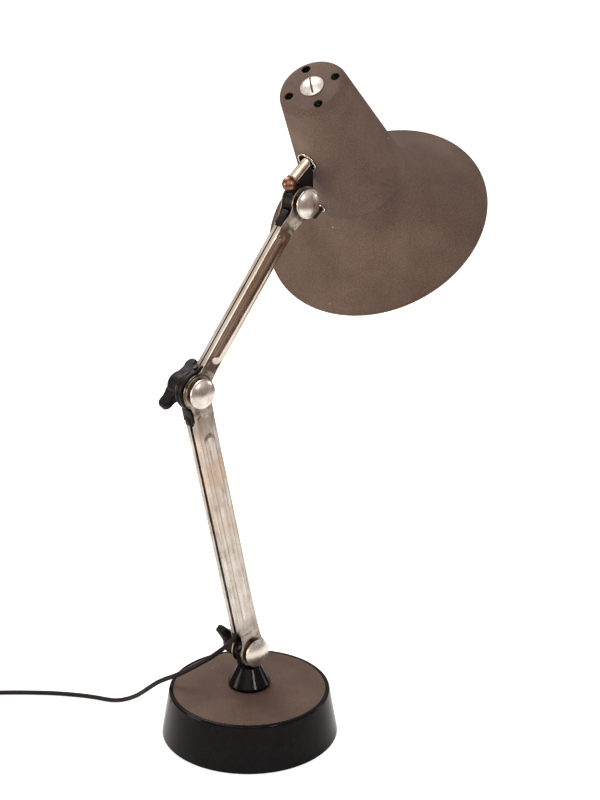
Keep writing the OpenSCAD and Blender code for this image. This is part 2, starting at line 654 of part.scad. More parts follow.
// from the upper arm's end, under the knuckle, into the eyelet in the neck
function by_eyelet(in) = in_shade([in * cos(wall_lean) - neck_r(-eyelet_down), 0,
    -in * sin(wall_lean) - eyelet_down]);
head_lead_path = concat(
    [for (z = [upper_lead_top, upper_lead_top + 3]) in_upper([upper_lead_x, 0, z])],
    [for (a = [-96:20:-36]) head_pivot + head_lead_r * [cos(a), 0, sin(a)]],
    [for (d = [-12, -6, 4]) by_eyelet(d)]);
module head_lead() color(black) tube_along(head_lead_path, lead_r - 0.05);

// ---- Head ----
// Round knuckle with a saddle under the swivel tube
module knuckle() color("#2c2a2b") at_tube() difference() {
    union() {
        along_y(-knuckle_half, knuckle_half, knuckle_d / 2);
        plate_y(knuckle_half - 0.6, [[-knuckle_d / 2 + 2, 5], [2, tube_rise + 1], [26, tube_rise + 1],
            [26, tube_rise - tube_r - 3], [knuckle_d / 2 - 2, -4]]);
    }
    along_y(-lower_half, lower_half, bolt_r + run);
    translate([-knuckle_d, 0, tube_rise]) rotate([0, 90, 0]) cylinder(r = tube_r + fit, h = 3 * knuckle_d);
    translate([-knuckle_d, -lower_half, tube_rise + 0.6]) cube([3 * knuckle_d, lower_depth, knuckle_d]);
    translate([ball_x - 2 - ball_d, 0, tube_rise]) rotate([0, 90, 0])
        cylinder(r = ball_d / 2 + 0.4, h = ball_d + 2.2);
}
module swivel_tube() color(steel) at_tube() translate([0, 0, tube_rise]) rotate([0, 90, 0]) difference() {
    translate([0, 0, ball_x]) cylinder(r = tube_r, h = tube_reach + tube_in - ball_x);
    translate([0, 0, ball_x + 4]) cylinder(r = tube_bore / 2, h = tube_reach + tube_in);
}
module ball_nut() color("#8a5a44") at_tube() translate([ball_x - face, 0, tube_rise]) difference() {
    union() {
        translate([-ball_d / 2 + 0.8, 0, 0]) sphere(d = ball_d);
        translate([-1.6, 0, 0]) rotate([0, 90, 0]) cylinder(d = ball_d, h = 1.6);
    }
    rotate([0, 90, 0]) cylinder(d = 2 * ball_d, h = ball_d);
}
// Collar and nut that hold the strap's legs on the tube
module tube_collars() color(steel) at_tube() translate([tube_reach, 0, tube_rise]) rotate([0, 90, 0])
    for (z = [-strap_half - strap_t - face - 4, strap_half + strap_t + face])
        translate([0, 0, z]) difference() {
            cylinder(r = tube_r + 2.6, h = 4);
            translate([0, 0, -cut]) cylinder(r = tube_r + run, h = 4 + 2 * cut);
        }

// ---- Shade ----
function neck_line(off) = concat([[0, neck_up - off]],
    arc([neck_top_d / 2 - neck_edge_r, neck_edge_z], neck_edge_r - off, 90, 0),
    [[neck_low_d / 2 - off, -neck_down]]);
function reversed(l) = [for (i = [len(l) - 1:-1:0]) l[i]];
// Turns +Z to point in through the neck's wall, square to it
module at_wall(z) translate([-neck_r(z), 0, z]) rotate([0, 90 + wall_lean, 0]) children();
module neck_hole(z, r) at_wall(z) translate([0, 0, -5]) cylinder(r = r, h = 10);
module shade_neck() color(crinkle) at_shade() difference() {
    rotate_extrude() polygon(concat(neck_line(0), reversed(neck_line(shade_t))));
    translate([0, 0, neck_up - 2 * shade_t]) {
        cylinder(r = top_screw_r + 0.1, h = 4 * shade_t);
        for (a = [28:90:298]) rotate(a) translate([vent_ring_d / 2, 0, 0])
            cylinder(d = vent_d, h = 4 * shade_t);
    }
    neck_hole(0, grommet_r + ring_wall + fit);
    neck_hole(-eyelet_down, eyelet_bore_r + ring_wall + fit);
}
// Outline of the brim from its rim inside the neck to its edge; the cavity's side is drawn back
module shade_brim() color(crinkle) at_shade() rotate_extrude() polygon(concat(
    [[brim_lip_r, -brim_top], [brim_lip_r, -brim_top - shade_t]],
    bow([brim_throat_r, -brim_top - shade_t], [brim_d / 2, 0.7 * shade_t - brim_down], -brim_hollow),
    reversed(bow([brim_throat_r - shade_t, -brim_top], [brim_d / 2 - 0.7 * shade_t, -brim_down],
        -brim_hollow))));

module top_screw() color(steel) at_shade() {
    dome_r = arc_radius(top_screw_d / 2, 3.4);
    difference() {
        intersection() {
            translate([0, 0, neck_up + face + 3.4 - dome_r]) sphere(r = dome_r, $fn = 96);
            cylinder_from(neck_up + face, neck_up + 6, top_screw_d / 2);
        }
        rotate(78) translate([-top_screw_d, -1, neck_up + 2.2]) cube([2 * top_screw_d, 2, 4]);
    }
    cylinder_from(strap_top - strap_t - 5, neck_up + 1, top_screw_r);
}
// Rolled ring with a lip on each side of the wall
module wall_ring(z, r, bore, lip) at_shade() at_wall(z) difference() {
    union() {
        cylinder_from(-1.4, -face, r);
        cylinder_from(-1.4, shade_t + 1.6, r - lip);
    }
    cylinder_from(-3, 9, bore);
}
module grommet_ring() color(steel)
    wall_ring(0, grommet_r + ring_wall + 1.4, grommet_r, 1.4);
module lead_eyelet() color(steel)
    wall_ring(-eyelet_down, eyelet_bore_r + ring_wall + 1.1, eyelet_bore_r, 1.1);

// Strap bent into a frame round the tube's end, hung from the top screw
module strap_bracket() color(steel) at_shade() difference() {
    translate([-strap_half - strap_t, -strap_w / 2, strap_low - strap_t])
        cube([strap_gap + 2 * strap_t, strap_w, strap_top - strap_low + strap_t]);
    translate([-strap_half, -strap_w, strap_low])
        cube([strap_gap, 2 * strap_w, strap_top - strap_t - strap_low]);
    translate([-neck_low_d / 2, 0, 0]) rotate([0, 90, 0]) cylinder(r = tube_r + run, h = neck_low_d);
    cylinder_from(strap_low - 2 * strap_t, neck_up, top_screw_r + run);
}
// Nuts on the top screw and on the lampholder's stud
module strap_nuts() color(steel) at_shade() for (z = [strap_top - strap_t - fit - 3, strap_low + fit])
    translate([0, 0, z]) difference() {
        cylinder(r = top_screw_r * 1.8, h = 3, $fn = 6);
        cylinder_from(-cut, 3 + cut, top_screw_r + run);
    }
module lampholder() color(black) at_shade() {
    difference() {
        translate([0, 0, holder_low]) cylinder(d = holder_d, h = holder_l);
        translate([0, 0, holder_low - cut]) cylinder(r = cap_bulb_r + 0.8, h = cap_bulb_l + 6);
    }
    cylinder_from(holder_top - cut, strap_low + 4, top_screw_r);
}
module bulb_cap() color(brass) at_shade() cylinder_from(bulb_top - 0.2, bulb_top + cap_bulb_l, cap_bulb_r);
module bulb_glass() color("#f0ead8") at_shade() rotate_extrude() {
    centre = bulb_top - bulb_l + bulb_d / 2 - 0.3;
    join = asin((cap_bulb_r - 1) / (bulb_d / 2)) + 14;
    polygon(concat([[0, bulb_top - 0.3], [cap_bulb_r - 1, bulb_top - 0.3]],
        arc([0, centre], bulb_d / 2, 90 - join, -90, 14)));
}

// ---- Flex, coil and plug ----
module cord() color(black) {
    tube_along(route, lead_r);
    tube_along(tail, lead_r);
}
module cord_coil() color(black) translate([coil_centre[0], coil_centre[1], coil_lift]) rotate_extrude()
    translate([coil_r - coil_half_w, 0]) square([2 * coil_half_w, coil_h]);
module cord_tie() color("#2a2a2a") translate([coil_centre[0], coil_centre[1], 0]) rotate(tie_angle)
    translate([coil_r, 0, coil_lift - fit]) difference() {
        translate([-coil_half_w - tie_t, -tie_w / 2, -tie_t])
            cube([2 * (coil_half_w + tie_t), tie_w, coil_h + 2 * tie_t + 2 * fit]);
        translate([-coil_half_w - 0.45, -tie_w, 0])
            cube([2 * coil_half_w + 0.6, 2 * tie_w, coil_h + 2 * fit]);
    }
module at_plug() translate(plug_pos) rotate(plug_turn) children();
module plug_body() color(black) at_plug() difference() {
    union() {
        translate([relief_l, 0, 0]) intersection() {
            translate([0, 0, -plug_t / 2]) linear_extrude(plug_t) polygon([[0, -6], [8, -plug_w / 2],
                [plug_l, -plug_w / 2], [plug_l, plug_w / 2], [8, plug_w / 2], [0, 6]]);
            rotate([0, 90, 0]) cylinder(r = plug_w / 2 + 1, h = plug_l);
        }
        rotate([0, 90, 0]) cylinder(r1 = lead_r + 1, r2 = 5.4, h = relief_l + cut);
    }
    translate([-cut, 0, 0]) rotate([0, 90, 0]) cylinder(r = lead_r + 0.3, h = cut + 1.6);
    for (y = [-pin_gap / 2, pin_gap / 2]) translate([relief_l + plug_l - 8, y, 0]) rotate([0, 90, 0])
        cylinder(r = pin_r + fit, h = 9);
}
module plug_pins() color(brass) at_plug() for (y = [-pin_gap / 2, pin_gap / 2])
    translate([relief_l + plug_l - 7.9, y, 0]) rotate([0, 90, 0]) cylinder(r = pin_r, h = pin_l + 7.9);

base_shell();
base_cover();
ballast();
ballast_screws();
bottom_plate();
plate_screws();
felt_pad();
spindle_bush();
pivot_post();
spindle();
spindle_washer();
spindle_nut();
base_hinge_bolt();
base_hinge_washers();
base_knob();
base_knob_insert();
lower_rail_front();
lower_rail_back();
lower_block();
lower_rivets();
lower_lead();
elbow_bolt();
elbow_washers();
elbow_knob();
elbow_knob_insert();
upper_rail_front();
upper_rail_back();
elbow_block();
block_screw();
head_spacer();
upper_rivets();
elbow_lead();
upper_lead();
head_bolt();
head_nut();
head_washers();
knuckle();
swivel_tube();
ball_nut();
tube_collars();
head_lead();
shade_neck();
shade_brim();
top_screw();
grommet_ring();
lead_eyelet();
strap_bracket();
strap_nuts();
lampholder();
bulb_cap();
bulb_glass();
cord();
cord_coil();
cord_tie();
plug_body();
plug_pins();
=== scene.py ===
import json
import math

import bmesh
import bpy
from mathutils import Matrix, Vector


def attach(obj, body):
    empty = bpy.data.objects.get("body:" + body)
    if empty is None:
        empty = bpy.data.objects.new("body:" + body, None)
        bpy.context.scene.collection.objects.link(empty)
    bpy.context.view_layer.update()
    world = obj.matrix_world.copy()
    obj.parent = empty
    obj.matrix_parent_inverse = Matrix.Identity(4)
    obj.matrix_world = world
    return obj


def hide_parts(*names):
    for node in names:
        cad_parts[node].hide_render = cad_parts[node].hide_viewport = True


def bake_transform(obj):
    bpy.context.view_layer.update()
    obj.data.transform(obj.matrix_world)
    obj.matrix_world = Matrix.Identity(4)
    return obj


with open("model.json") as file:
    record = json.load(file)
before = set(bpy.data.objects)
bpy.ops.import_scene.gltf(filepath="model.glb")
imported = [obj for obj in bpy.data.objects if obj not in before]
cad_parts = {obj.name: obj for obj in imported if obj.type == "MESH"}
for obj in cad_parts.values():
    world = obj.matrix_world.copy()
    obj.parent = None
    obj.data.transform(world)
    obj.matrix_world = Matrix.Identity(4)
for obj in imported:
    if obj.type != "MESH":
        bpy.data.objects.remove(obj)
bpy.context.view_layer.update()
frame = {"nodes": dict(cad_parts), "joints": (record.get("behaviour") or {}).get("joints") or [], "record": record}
joints = {joint["name"]: joint for joint in frame["joints"]}
mm = 0.001
print("frame loaded")


# Places: each arm's own frame has +Z along the arm and +Y along the hinges
def placeAt(origin, zAxis, yAxis):
    z = zAxis.normalized()
    x = yAxis.cross(z).normalized()
    turned = Matrix((x, z.cross(x), z)).transposed().to_4x4()
    return Matrix.Translation(origin) @ turned @ Matrix.Scale(mm, 4)


hingeY = Vector((0, 1, 0))
baseHinge = Vector(joints["lower_arm_tilt"]["pos_m"])
elbowHinge = Vector(joints["elbow_bend"]["pos_m"])
headHinge = Vector(joints["head_tilt"]["pos_m"])
shadeCentre = Vector(joints["shade_swivel"]["pos_m"])
tubeAxis = Vector(joints["shade_swivel"]["axis"]).normalized()
tubeUp = tubeAxis.cross(hingeY) * -1
if tubeUp.z < 0:
    tubeUp = -tubeUp
shadeTurn = math.radians(11.75)
shadeUp = Matrix.Rotation(shadeTurn, 3, tubeAxis) @ tubeUp

atFloor = Matrix.Scale(mm, 4)
atBaseHinge = placeAt(baseHinge, Vector((0, 0, 1)), hingeY)
atElbow = placeAt(elbowHinge, Vector((0, 0, 1)), hingeY)
atHead = placeAt(headHinge, Vector((0, 0, 1)), hingeY)
atLower = placeAt(baseHinge, elbowHinge - baseHinge, hingeY)
atUpper = placeAt(elbowHinge, headHinge - elbowHinge, hingeY)
atTubeFrame = placeAt(headHinge, tubeUp, hingeY)
atShade = placeAt(shadeCentre, shadeUp, shadeUp.cross(tubeAxis))
towardBolt = Matrix.Rotation(math.pi / 2, 4, "X")    # local +Z to -Y
towardKnob = Matrix.Rotation(-math.pi / 2, 4, "X")   # local +Z to +Y
alongTube = Matrix.Rotation(math.pi / 2, 4, "Y")     # local +Z to +X


# Camera
cameraView = {"place": (-1.2023, -1.4227, 1.0751), "lens": 98.2,
              "right": (0.7466, -0.6653, 0.0), "up": (0.2429, 0.2726, 0.931), "back": (-0.6194, -0.6950, 0.3651)}
cameraData = bpy.data.cameras.new("camera")
cameraData.lens = cameraView["lens"]
cameraData.sensor_width = 36
camera = bpy.data.objects.new("camera", cameraData)
bpy.context.scene.collection.objects.link(camera)
turn = Matrix([cameraView["right"], cameraView["up"], cameraView["back"]]).transposed()
camera.matrix_world = Matrix.Translation(cameraView["place"]) @ turn.to_4x4()
bpy.context.scene.camera = camera


# Materials
def linear(hexColour):
    parts = [int(hexColour[i:i + 2], 16) / 255 for i in (1, 3, 5)]
    return tuple(c / 12.92 if c < 0.04045 else ((c + 0.055) / 1.055) ** 2.4 for c in parts) + (1.0,)


def addNode(tree, kind, settings=None, links=None):
    node = tree.nodes.new("ShaderNode" + kind)
    for key, value in (settings or {}).items():
        if isinstance(key, str) and hasattr(node, key):
            setattr(node, key, value)
        else:
            node.inputs[key].default_value = value
    for key, source in (links or {}).items():
        tree.links.new(source, node.inputs[key])
    return node


def ramp(tree, source, stops):
    node = addNode(tree, "ValToRGB", links={"Fac": source})
    while len(node.color_ramp.elements) < len(stops):
        node.color_ramp.elements.new(0.5)
    for element, (at, colour) in zip(node.color_ramp.elements, stops):
        element.position = at
        element.color = linear(colour) if isinstance(colour, str) else (colour, colour, colour, 1)
    return node


def newMaterial(name, settings):
    material = bpy.data.materials.new(name)
    material.use_nodes = True
    shader = material.node_tree.nodes["Principled BSDF"]
    for key, value in settings.items():
        shader.inputs[key].default_value = value
    coordinates = addNode(material.node_tree, "TexCoord").outputs["Object"]
    return material, material.node_tree, shader, coordinates


def connect(tree, shader, links):
    for key, source in links.items():
        tree.links.new(source, shader.inputs[key])


# Wrinkle enamel: sprayed and stoved so that it dries in fine folds; satin, with pale chips where it is knocked
enamelLook = {"light": "#6b574b", "mid": "#5b483e", "dark": "#4a3a31", "chip": "#a8978a",
              "fold": 0.0010, "bump": 0.0004}


def wrinkleEnamel():
    material, tree, shader, at = newMaterial("wrinkleEnamel", {"Roughness": 0.6, "IOR": 1.5, "Specular IOR Level": 0.3})
    fold = addNode(tree, "TexVoronoi", {"feature": "SMOOTH_F1", "Scale": 1 / enamelLook["fold"], "Smoothness": 0.6},
                   {"Vector": at})
    grain = addNode(tree, "TexNoise", {"Scale": 900, "Detail": 3.0}, {"Vector": at})
    cloud = addNode(tree, "TexNoise", {"Scale": 22, "Detail": 4.0}, {"Vector": at})
    streak = addNode(tree, "TexNoise", {"Scale": 150, "Detail": 2.0, "Roughness": 0.7}, {"Vector": at})
    tone = addNode(tree, "Mix", {"data_type": "FLOAT", 0: 0.45}, {2: grain.outputs["Fac"], 3: cloud.outputs["Fac"]})
    colours = ramp(tree, tone.outputs[0],
                   [(0.36, enamelLook["dark"]), (0.5, enamelLook["mid"]), (0.64, enamelLook["light"])])
    chips = ramp(tree, streak.outputs["Fac"], [(0.755, 0.0), (0.78, 0.9)])
    mixed = addNode(tree, "MixRGB", {"Color2": linear(enamelLook["chip"])},
                    {"Fac": chips.outputs[0], "Color1": colours.outputs[0]})
    rough = addNode(tree, "MapRange", {"To Min": 0.5, "To Max": 0.75}, {"Value": grain.outputs["Fac"]})
    height = addNode(tree, "Math", {"operation": "ADD"}, {0: fold.outputs["Distance"], 1: grain.outputs["Fac"]})
    bump = addNode(tree, "Bump", {"Strength": 0.55, "Distance": enamelLook["bump"]}, {"Height": height.outputs[0]})
    connect(tree, shader, {"Base Color": mixed.outputs[0], "Roughness": rough.outputs[0], "Normal": bump.outputs[0]})
    return material


# Glossy moulded phenolic: near black with a purple cast, hard sharp highlights and faint rubbing marks
phenolicLook = {"light": "#100b0f", "dark": "#070506", "rub": 0.006}


def glossPhenolic():
    material, tree, shader, at = newMaterial("glossPhenolic",
                                             {"Roughness": 0.1, "IOR": 1.55, "Specular IOR Level": 0.08})
    cloud = addNode(tree, "TexNoise", {"Scale": 1 / phenolicLook["rub"], "Detail": 5.0}, {"Vector": at})
    colours = ramp(tree, cloud.outputs["Fac"], [(0.35, phenolicLook["dark"]), (0.7, phenolicLook["light"])])
    rough = addNode(tree, "MapRange", {"To Min": 0.07, "To Max": 0.22}, {"Value": cloud.outputs["Fac"]})
    fine = addNode(tree, "TexNoise", {"Scale": 1400, "Detail": 2.0}, {"Vector": at})
    bump = addNode(tree, "Bump", {"Strength": 0.01, "Distance": 0.0001}, {"Height": fine.outputs["Fac"]})
    connect(tree, shader, {"Base Color": colours.outputs[0], "Roughness": rough.outputs[0], "Normal": bump.outputs[0]})
    return material


# Plated metals: the plating's colours, how dull it has worn, its pits and scratches, and the size of its clouding.
# A rail also has painted shade, darker lines along the feet of its bead and its bends and towards its ends, and warm
# tan patches that grow towards its upper end
platings = {
    # Barrel-plated strip, rubbed dull: broad soft shine
    "wornNickel": {"light": "#e3dfda", "mid": "#cbc4bd", "dark": "#978e86", "spot": "#5d4a3b", "rough": (0.2, 0.38),
                   "pits": (0.66, 0.72), "scratch": 0.3, "cloud": 0.016, "stretch": 14},
    # Polished strip: clear bright bands
    "brightNickel": {"light": "#efe6dc", "mid": "#dccfc2", "dark": "#b7a899", "spot": "#6d5849", "rough": (0.07, 0.16),
                     "pits": (0.72, 0.77), "scratch": 0.1, "cloud": 0.012, "stretch": 14},
    # Drawn and polished tube: smooth bright lines
    "tubeNickel": {"light": "#ebe2d6", "mid": "#d6cabb", "dark": "#b09f8c", "spot": "#6d5849", "rough": (0.1, 0.2),
                   "pits": (0.76, 0.8), "scratch": 0.04, "cloud": 0.012, "stretch": 1},
    # Unpolished plating: grey with brown spots
    "dullNickel": {"light": "#c2b9ae", "mid": "#a1978b", "dark": "#6f655a", "spot": "#4b3d33", "rough": (0.26, 0.42),
                   "pits": (0.64, 0.72), "scratch": 0.2, "cloud": 0.006, "stretch": 2},
    # Brushed before plating: soft even glow
    "satinChrome": {"light": "#f0ebe6", "mid": "#e0d9d2", "dark": "#c2b9b1", "spot": "#8a8078", "rough": (0.26, 0.34),
                    "pits": (0.8, 0.86), "scratch": 0.0, "cloud": 0.008, "stretch": 1},
    # Tarnished copper wash: dark red-brown gleam
    "copperPlate": {"light": "#b08a76", "mid": "#8d6754", "dark": "#614539", "spot": "#3d2a22", "rough": (0.3, 0.45),
                    "pits": (0.7, 0.78), "scratch": 0.1, "cloud": 0.005, "stretch": 1},
    # Turned bar, browned by handling: dull gold
    "wornBrass": {"light": "#a3917a", "mid": "#7c6c57", "dark": "#4f4336", "spot": "#352919", "rough": (0.28, 0.45),
                  "pits": (0.66, 0.76), "scratch": 0.2, "cloud": 0.006, "stretch": 1},
    # Zinc dipped: pale, patchy grey
    "zincPlate": {"light": "#c9c5bd", "mid": "#aaa59b", "dark": "#7c766c", "spot": "#5a4a3a", "rough": (0.3, 0.48),
                  "pits": (0.68, 0.76), "scratch": 0.3, "cloud": 0.02, "stretch": 1},
    # Oiled and heat-browned: near black, low gleam
    "brownedSteel": {"light": "#5e4e42", "mid": "#3f332c", "dark": "#241c19", "spot": "#1c1512", "rough": (0.25, 0.42),
                     "pits": (0.68, 0.78), "scratch": 0.1, "cloud": 0.01, "stretch": 1},
}
# Painted shade on each rail: the colour of its crease lines, where they fall across and along it, and its warm tan
# patches
railShadeAndPatches = {
    "wornNickel": {"hinge": baseHinge, "tilt": -12.34, "half": 0.0114, "long": 0.2882,
                   "colour": "#6e6155", "warmPatch": "#c0a083", "warmPatchMost": 0.55,
                   "lines": [(0.40, 0.0), (0.48, 0.7), (0.53, 0.05), (0.76, 0.05), (0.82, 0.5), (0.87, 0.0)],
                   "ends": [(0.02, 0.6), (0.11, 0.5), (0.15, 0.0), (0.83, 0.0), (0.87, 0.55), (0.98, 0.7)]},
    "brightNickel": {"hinge": elbowHinge, "tilt": 39.88, "half": 0.0087, "long": 0.1972,
                     "colour": "#5c4a40", "warmPatch": "#c3a68e", "warmPatchMost": 0.35,
                     "lines": [(0.48, 0.0), (0.56, 0.5), (0.62, 0.0), (0.80, 0.0), (0.84, 0.3), (0.88, 0.0)],
                     "ends": [(0.02, 0.6), (0.14, 0.45), (0.18, 0.0), (0.80, 0.0), (0.86, 0.4), (0.98, 0.6)]},
}


# Mask of the painted shade: dark lines in the creases of the bead and bends and near the rail's ends, made patchy; also
# a ramp that grows up the arm
def creaseShadeMask(tree, at, shadeAndPatches, noise):
    inArm = addNode(tree, "Mapping", {"vector_type": "TEXTURE", "Location": shadeAndPatches["hinge"],
                                      "Rotation": (0, math.radians(shadeAndPatches["tilt"]), 0)}, {"Vector": at})
    parts = addNode(tree, "SeparateXYZ", links={"Vector": inArm.outputs[0]})
    across = addNode(tree, "Math", {"operation": "ABSOLUTE"}, {0: parts.outputs["X"]})
    share = addNode(tree, "Math", {"operation": "DIVIDE", 1: shadeAndPatches["half"]}, {0: across.outputs[0]})
    along = addNode(tree, "Math", {"operation": "DIVIDE", 1: shadeAndPatches["long"]}, {0: parts.outputs["Z"]})
    lines = ramp(tree, share.outputs[0], shadeAndPatches["lines"])
    ends = ramp(tree, along.outputs[0], shadeAndPatches["ends"])
    both = addNode(tree, "Math", {"operation": "MAXIMUM"}, {0: lines.outputs[0], 1: ends.outputs[0]})
    patchy = addNode(tree, "MapRange", {"From Min": 0.35, "From Max": 0.62, "To Min": 0.35, "To Max": 1.2},
                     {"Value": noise})
    mask = addNode(tree, "Math", {"operation": "MULTIPLY", "use_clamp": True},
                   {0: both.outputs[0], 1: patchy.outputs[0]})
    return mask.outputs[0], ramp(tree, along.outputs[0], [(0.3, 0.15), (0.65, 1.0)]).outputs[0]


def platedMetal(name):
    look, shadeAndPatches = platings[name], railShadeAndPatches.get(name)
    material, tree, shader, at = newMaterial(name, {"Metallic": 1.0})
    drawn = addNode(tree, "Mapping", {"vector_type": "TEXTURE", "Scale": (1, 1, look["stretch"]),
                                      "Rotation": (0, math.radians(shadeAndPatches["tilt"]) if shadeAndPatches else 0, 0)},
                    {"Vector": at})
    scratch = addNode(tree, "TexNoise", {"Scale": 1100, "Detail": 4.0}, {"Vector": drawn.outputs[0]})
    cloud = addNode(tree, "TexNoise", {"Scale": 1 / look["cloud"], "Detail": 5.0, "Roughness": 0.6}, {"Vector": at})
    streak = addNode(tree, "TexNoise", {"Scale": 420, "Detail": 4.0, "Roughness": 0.6}, {"Vector": drawn.outputs[0]})
    speck = addNode(tree, "TexNoise", {"Scale": 420, "Detail": 3.0, "Roughness": 0.65}, {"Vector": at})
    tone = addNode(tree, "Mix", {"data_type": "FLOAT", 0: 0.62 if shadeAndPatches else 0.25},
                   {2: cloud.outputs["Fac"], 3: streak.outputs["Fac"]})
    colours = ramp(tree, tone.outputs[0], [(0.36, look["dark"]), (0.49, look["mid"]), (0.62, look["light"])])
    pits = ramp(tree, speck.outputs["Fac"], [(look["pits"][0], 0.0), (look["pits"][1], 0.85)])
    mixed = addNode(tree, "MixRGB", {"Color2": linear(look["spot"])},
                    {"Fac": pits.outputs[0], "Color1": colours.outputs[0]})
    # Painted shade in the creases and near the ends, over warm tan patches that grow up the arm
    if shadeAndPatches:
        mask, upArm = creaseShadeMask(tree, at, shadeAndPatches, streak.outputs["Fac"])
        patch = addNode(tree, "TexNoise", {"Scale": 26, "Detail": 3.0}, {"Vector": at})
        patch = ramp(tree, patch.outputs["Fac"], [(0.42, 0.0), (0.6, shadeAndPatches["warmPatchMost"])])
        warmPatch = addNode(tree, "Math", {"operation": "MULTIPLY"}, {0: patch.outputs[0], 1: upArm})
        mixed = addNode(tree, "MixRGB", {"Color2": linear(shadeAndPatches["warmPatch"])},
                        {"Fac": warmPatch.outputs[0], "Color1": mixed.outputs[0]})
        mixed = addNode(tree, "MixRGB", {"Color2": linear(shadeAndPatches["colour"])}, {"Fac": mask, "Color1": mixed.outputs[0]})
    wear = addNode(tree, "Math", {"operation": "ADD"}, {0: cloud.outputs["Fac"], 1: scratch.outputs["Fac"]})
    rough = addNode(tree, "MapRange", {"From Min": 0.7, "From Max": 1.3, "To Min": look["rough"][0],
                                      "To Max": look["rough"][1]}, {"Value": wear.outputs[0]})
    bump = addNode(tree, "Bump", {"Strength": look["scratch"], "Distance": 0.00008}, {"Height": scratch.outputs["Fac"]})
    connect(tree, shader, {"Base Color": mixed.outputs[0], "Roughness": rough.outputs[0], "Normal": bump.outputs[0]})
    return material


# Plain finishes: two colours that cloud into each other, a grain size and how rough it is
finishes = {
    # Moulded black nylon, satin with rubbed edges
    "mouldedPlastic": {"light": "#141012", "dark": "#080607", "grain": 0.0008, "rough": (0.26, 0.42), "bump": 0.08},
    # Round flexible PVC flex, slightly dull
    "flexSleeve": {"light": "#1f191b", "dark": "#110d0f", "grain": 0.0012, "rough": (0.34, 0.5), "bump": 0.08},
    # Stoved enamel on a casting, half gloss
    "blackEnamel": {"light": "#1e1819", "dark": "#0e0b0b", "grain": 0.0015, "rough": (0.24, 0.4), "bump": 0.12},
    # Sand casting, dull and grainy
    "castIron": {"light": "#5a5653", "dark": "#2f2c2a", "grain": 0.0012, "rough": (0.6, 0.85), "bump": 0.6},
    # Pressed fibres, flat brown
    "hardboard": {"light": "#8a6a48", "dark": "#5e452c", "grain": 0.0009, "rough": (0.65, 0.85), "bump": 0.3},
    # Matted wool, soft and rough
    "woolFelt": {"light": "#3f5a4a", "dark": "#24372d", "grain": 0.0007, "rough": (0.85, 0.98), "bump": 0.8},
    # Smooth stoved reflector paint
    "creamEnamel": {"light": "#ebe4d5", "dark": "#e3dac9", "grain": 0.004, "rough": (0.3, 0.45), "bump": 0.05},
    # Plain seamless paper
    "studioPaper": {"light": "#fdfdfd", "dark": "#fafafa", "grain": 0.3, "rough": (0.9, 0.95), "bump": 0.0},
}


def plainFinish(name):
    look = finishes[name]
    material, tree, shader, at = newMaterial(name, {"IOR": 1.5, "Specular IOR Level": 0.16})
    grain = addNode(tree, "TexNoise", {"Scale": 1 / look["grain"], "Detail": 3.0}, {"Vector": at})
    cloud = addNode(tree, "TexNoise", {"Scale": 0.12 / look["grain"], "Detail": 3.0}, {"Vector": at})
    colours = ramp(tree, cloud.outputs["Fac"], [(0.35, look["dark"]), (0.65, look["light"])])
    rough = addNode(tree, "MapRange", {"From Min": 0.3, "From Max": 0.7, "To Min": look["rough"][0],
                                      "To Max": look["rough"][1]}, {"Value": grain.outputs["Fac"]})
    bump = addNode(tree, "Bump", {"Strength": look["bump"], "Distance": 0.0002}, {"Height": grain.outputs["Fac"]})
    connect(tree, shader, {"Base Color": colours.outputs[0], "Roughness": rough.outputs[0], "Normal": bump.outputs[0]})
    return material


# Frosted bulb: thin etched glass that glows white in room light
def frostedGlass():
    material, tree, shader, at = newMaterial("frostedGlass",
                                             {"IOR": 1.5, "Transmission Weight": 0.25, "Subsurface Weight": 0.3})
    cloud = addNode(tree, "TexNoise", {"Scale": 60, "Detail": 3.0}, {"Vector": at})
    colours = ramp(tree, cloud.outputs["Fac"], [(0.3, "#f1efe8"), (0.7, "#fbfaf6")])
    rough = addNode(tree, "MapRange", {"To Min": 0.25, "To Max": 0.4}, {"Value": cloud.outputs["Fac"]})
    connect(tree, shader, {"Base Color": colours.outputs[0], "Roughness": rough.outputs[0]})
    return material


looks = {"wrinkleEnamel": wrinkleEnamel(), "glossPhenolic": glossPhenolic(), "frostedGlass": frostedGlass()}
looks.update({name: platedMetal(name) for name in platings})
looks.update({name: plainFinish(name) for name in finishes})
paper = looks["studioPaper"].node_tree.nodes["Principled BSDF"]
paper.inputs["Emission Color"].default_value = (1, 1, 1, 1)
paper.inputs["Emission Strength"].default_value = 0.66    # lifts the table to plain white
slotLooks = {"bakelite": "glossPhenolic", "crinkle_paint": "wrinkleEnamel", "cast_iron": "castIron",
             "steel": "zincPlate", "hardboard": "hardboard", "felt": "woolFelt", "brass": "wornBrass",
             "nickel": "dullNickel", "satin_chrome": "satinChrome", "black_plastic": "mouldedPlastic",
             "copper": "copperPlate", "flex": "flexSleeve", "glass": "frostedGlass",
             "black_metal": "blackEnamel"}
ownLooks = {"block_screw": "brownedSteel", "strap_nuts": "brownedSteel", "lower_rivets": "wornNickel",
            "upper_rivets": "brightNickel"}
for row in frame["record"]["subparts"]:
    node = frame["nodes"][row["node"]]
    node.data.materials.clear()
    node.data.materials.append(looks[ownLooks.get(row["node"], slotLooks[row["material_slot"]])])
print("materials made")


# Modelling helpers, all in millimetres in a piece's own frame
def lathe(profile, steps=64, closed=True):
    bm = bmesh.new()
    verts = [bm.verts.new((r, 0, z)) for r, z in profile]
    edges = [bm.edges.new(pair) for pair in zip(verts, verts[1:] + (verts[:1] if closed else []))]
    bmesh.ops.spin(bm, geom=verts + edges, cent=(0, 0, 0), axis=(0, 0, 1), angle=2 * math.pi,
                   steps=steps, use_merge=True)
    bmesh.ops.remove_doubles(bm, verts=bm.verts, dist=0.0005)
    bmesh.ops.recalc_face_normals(bm, faces=bm.faces)
    return bm


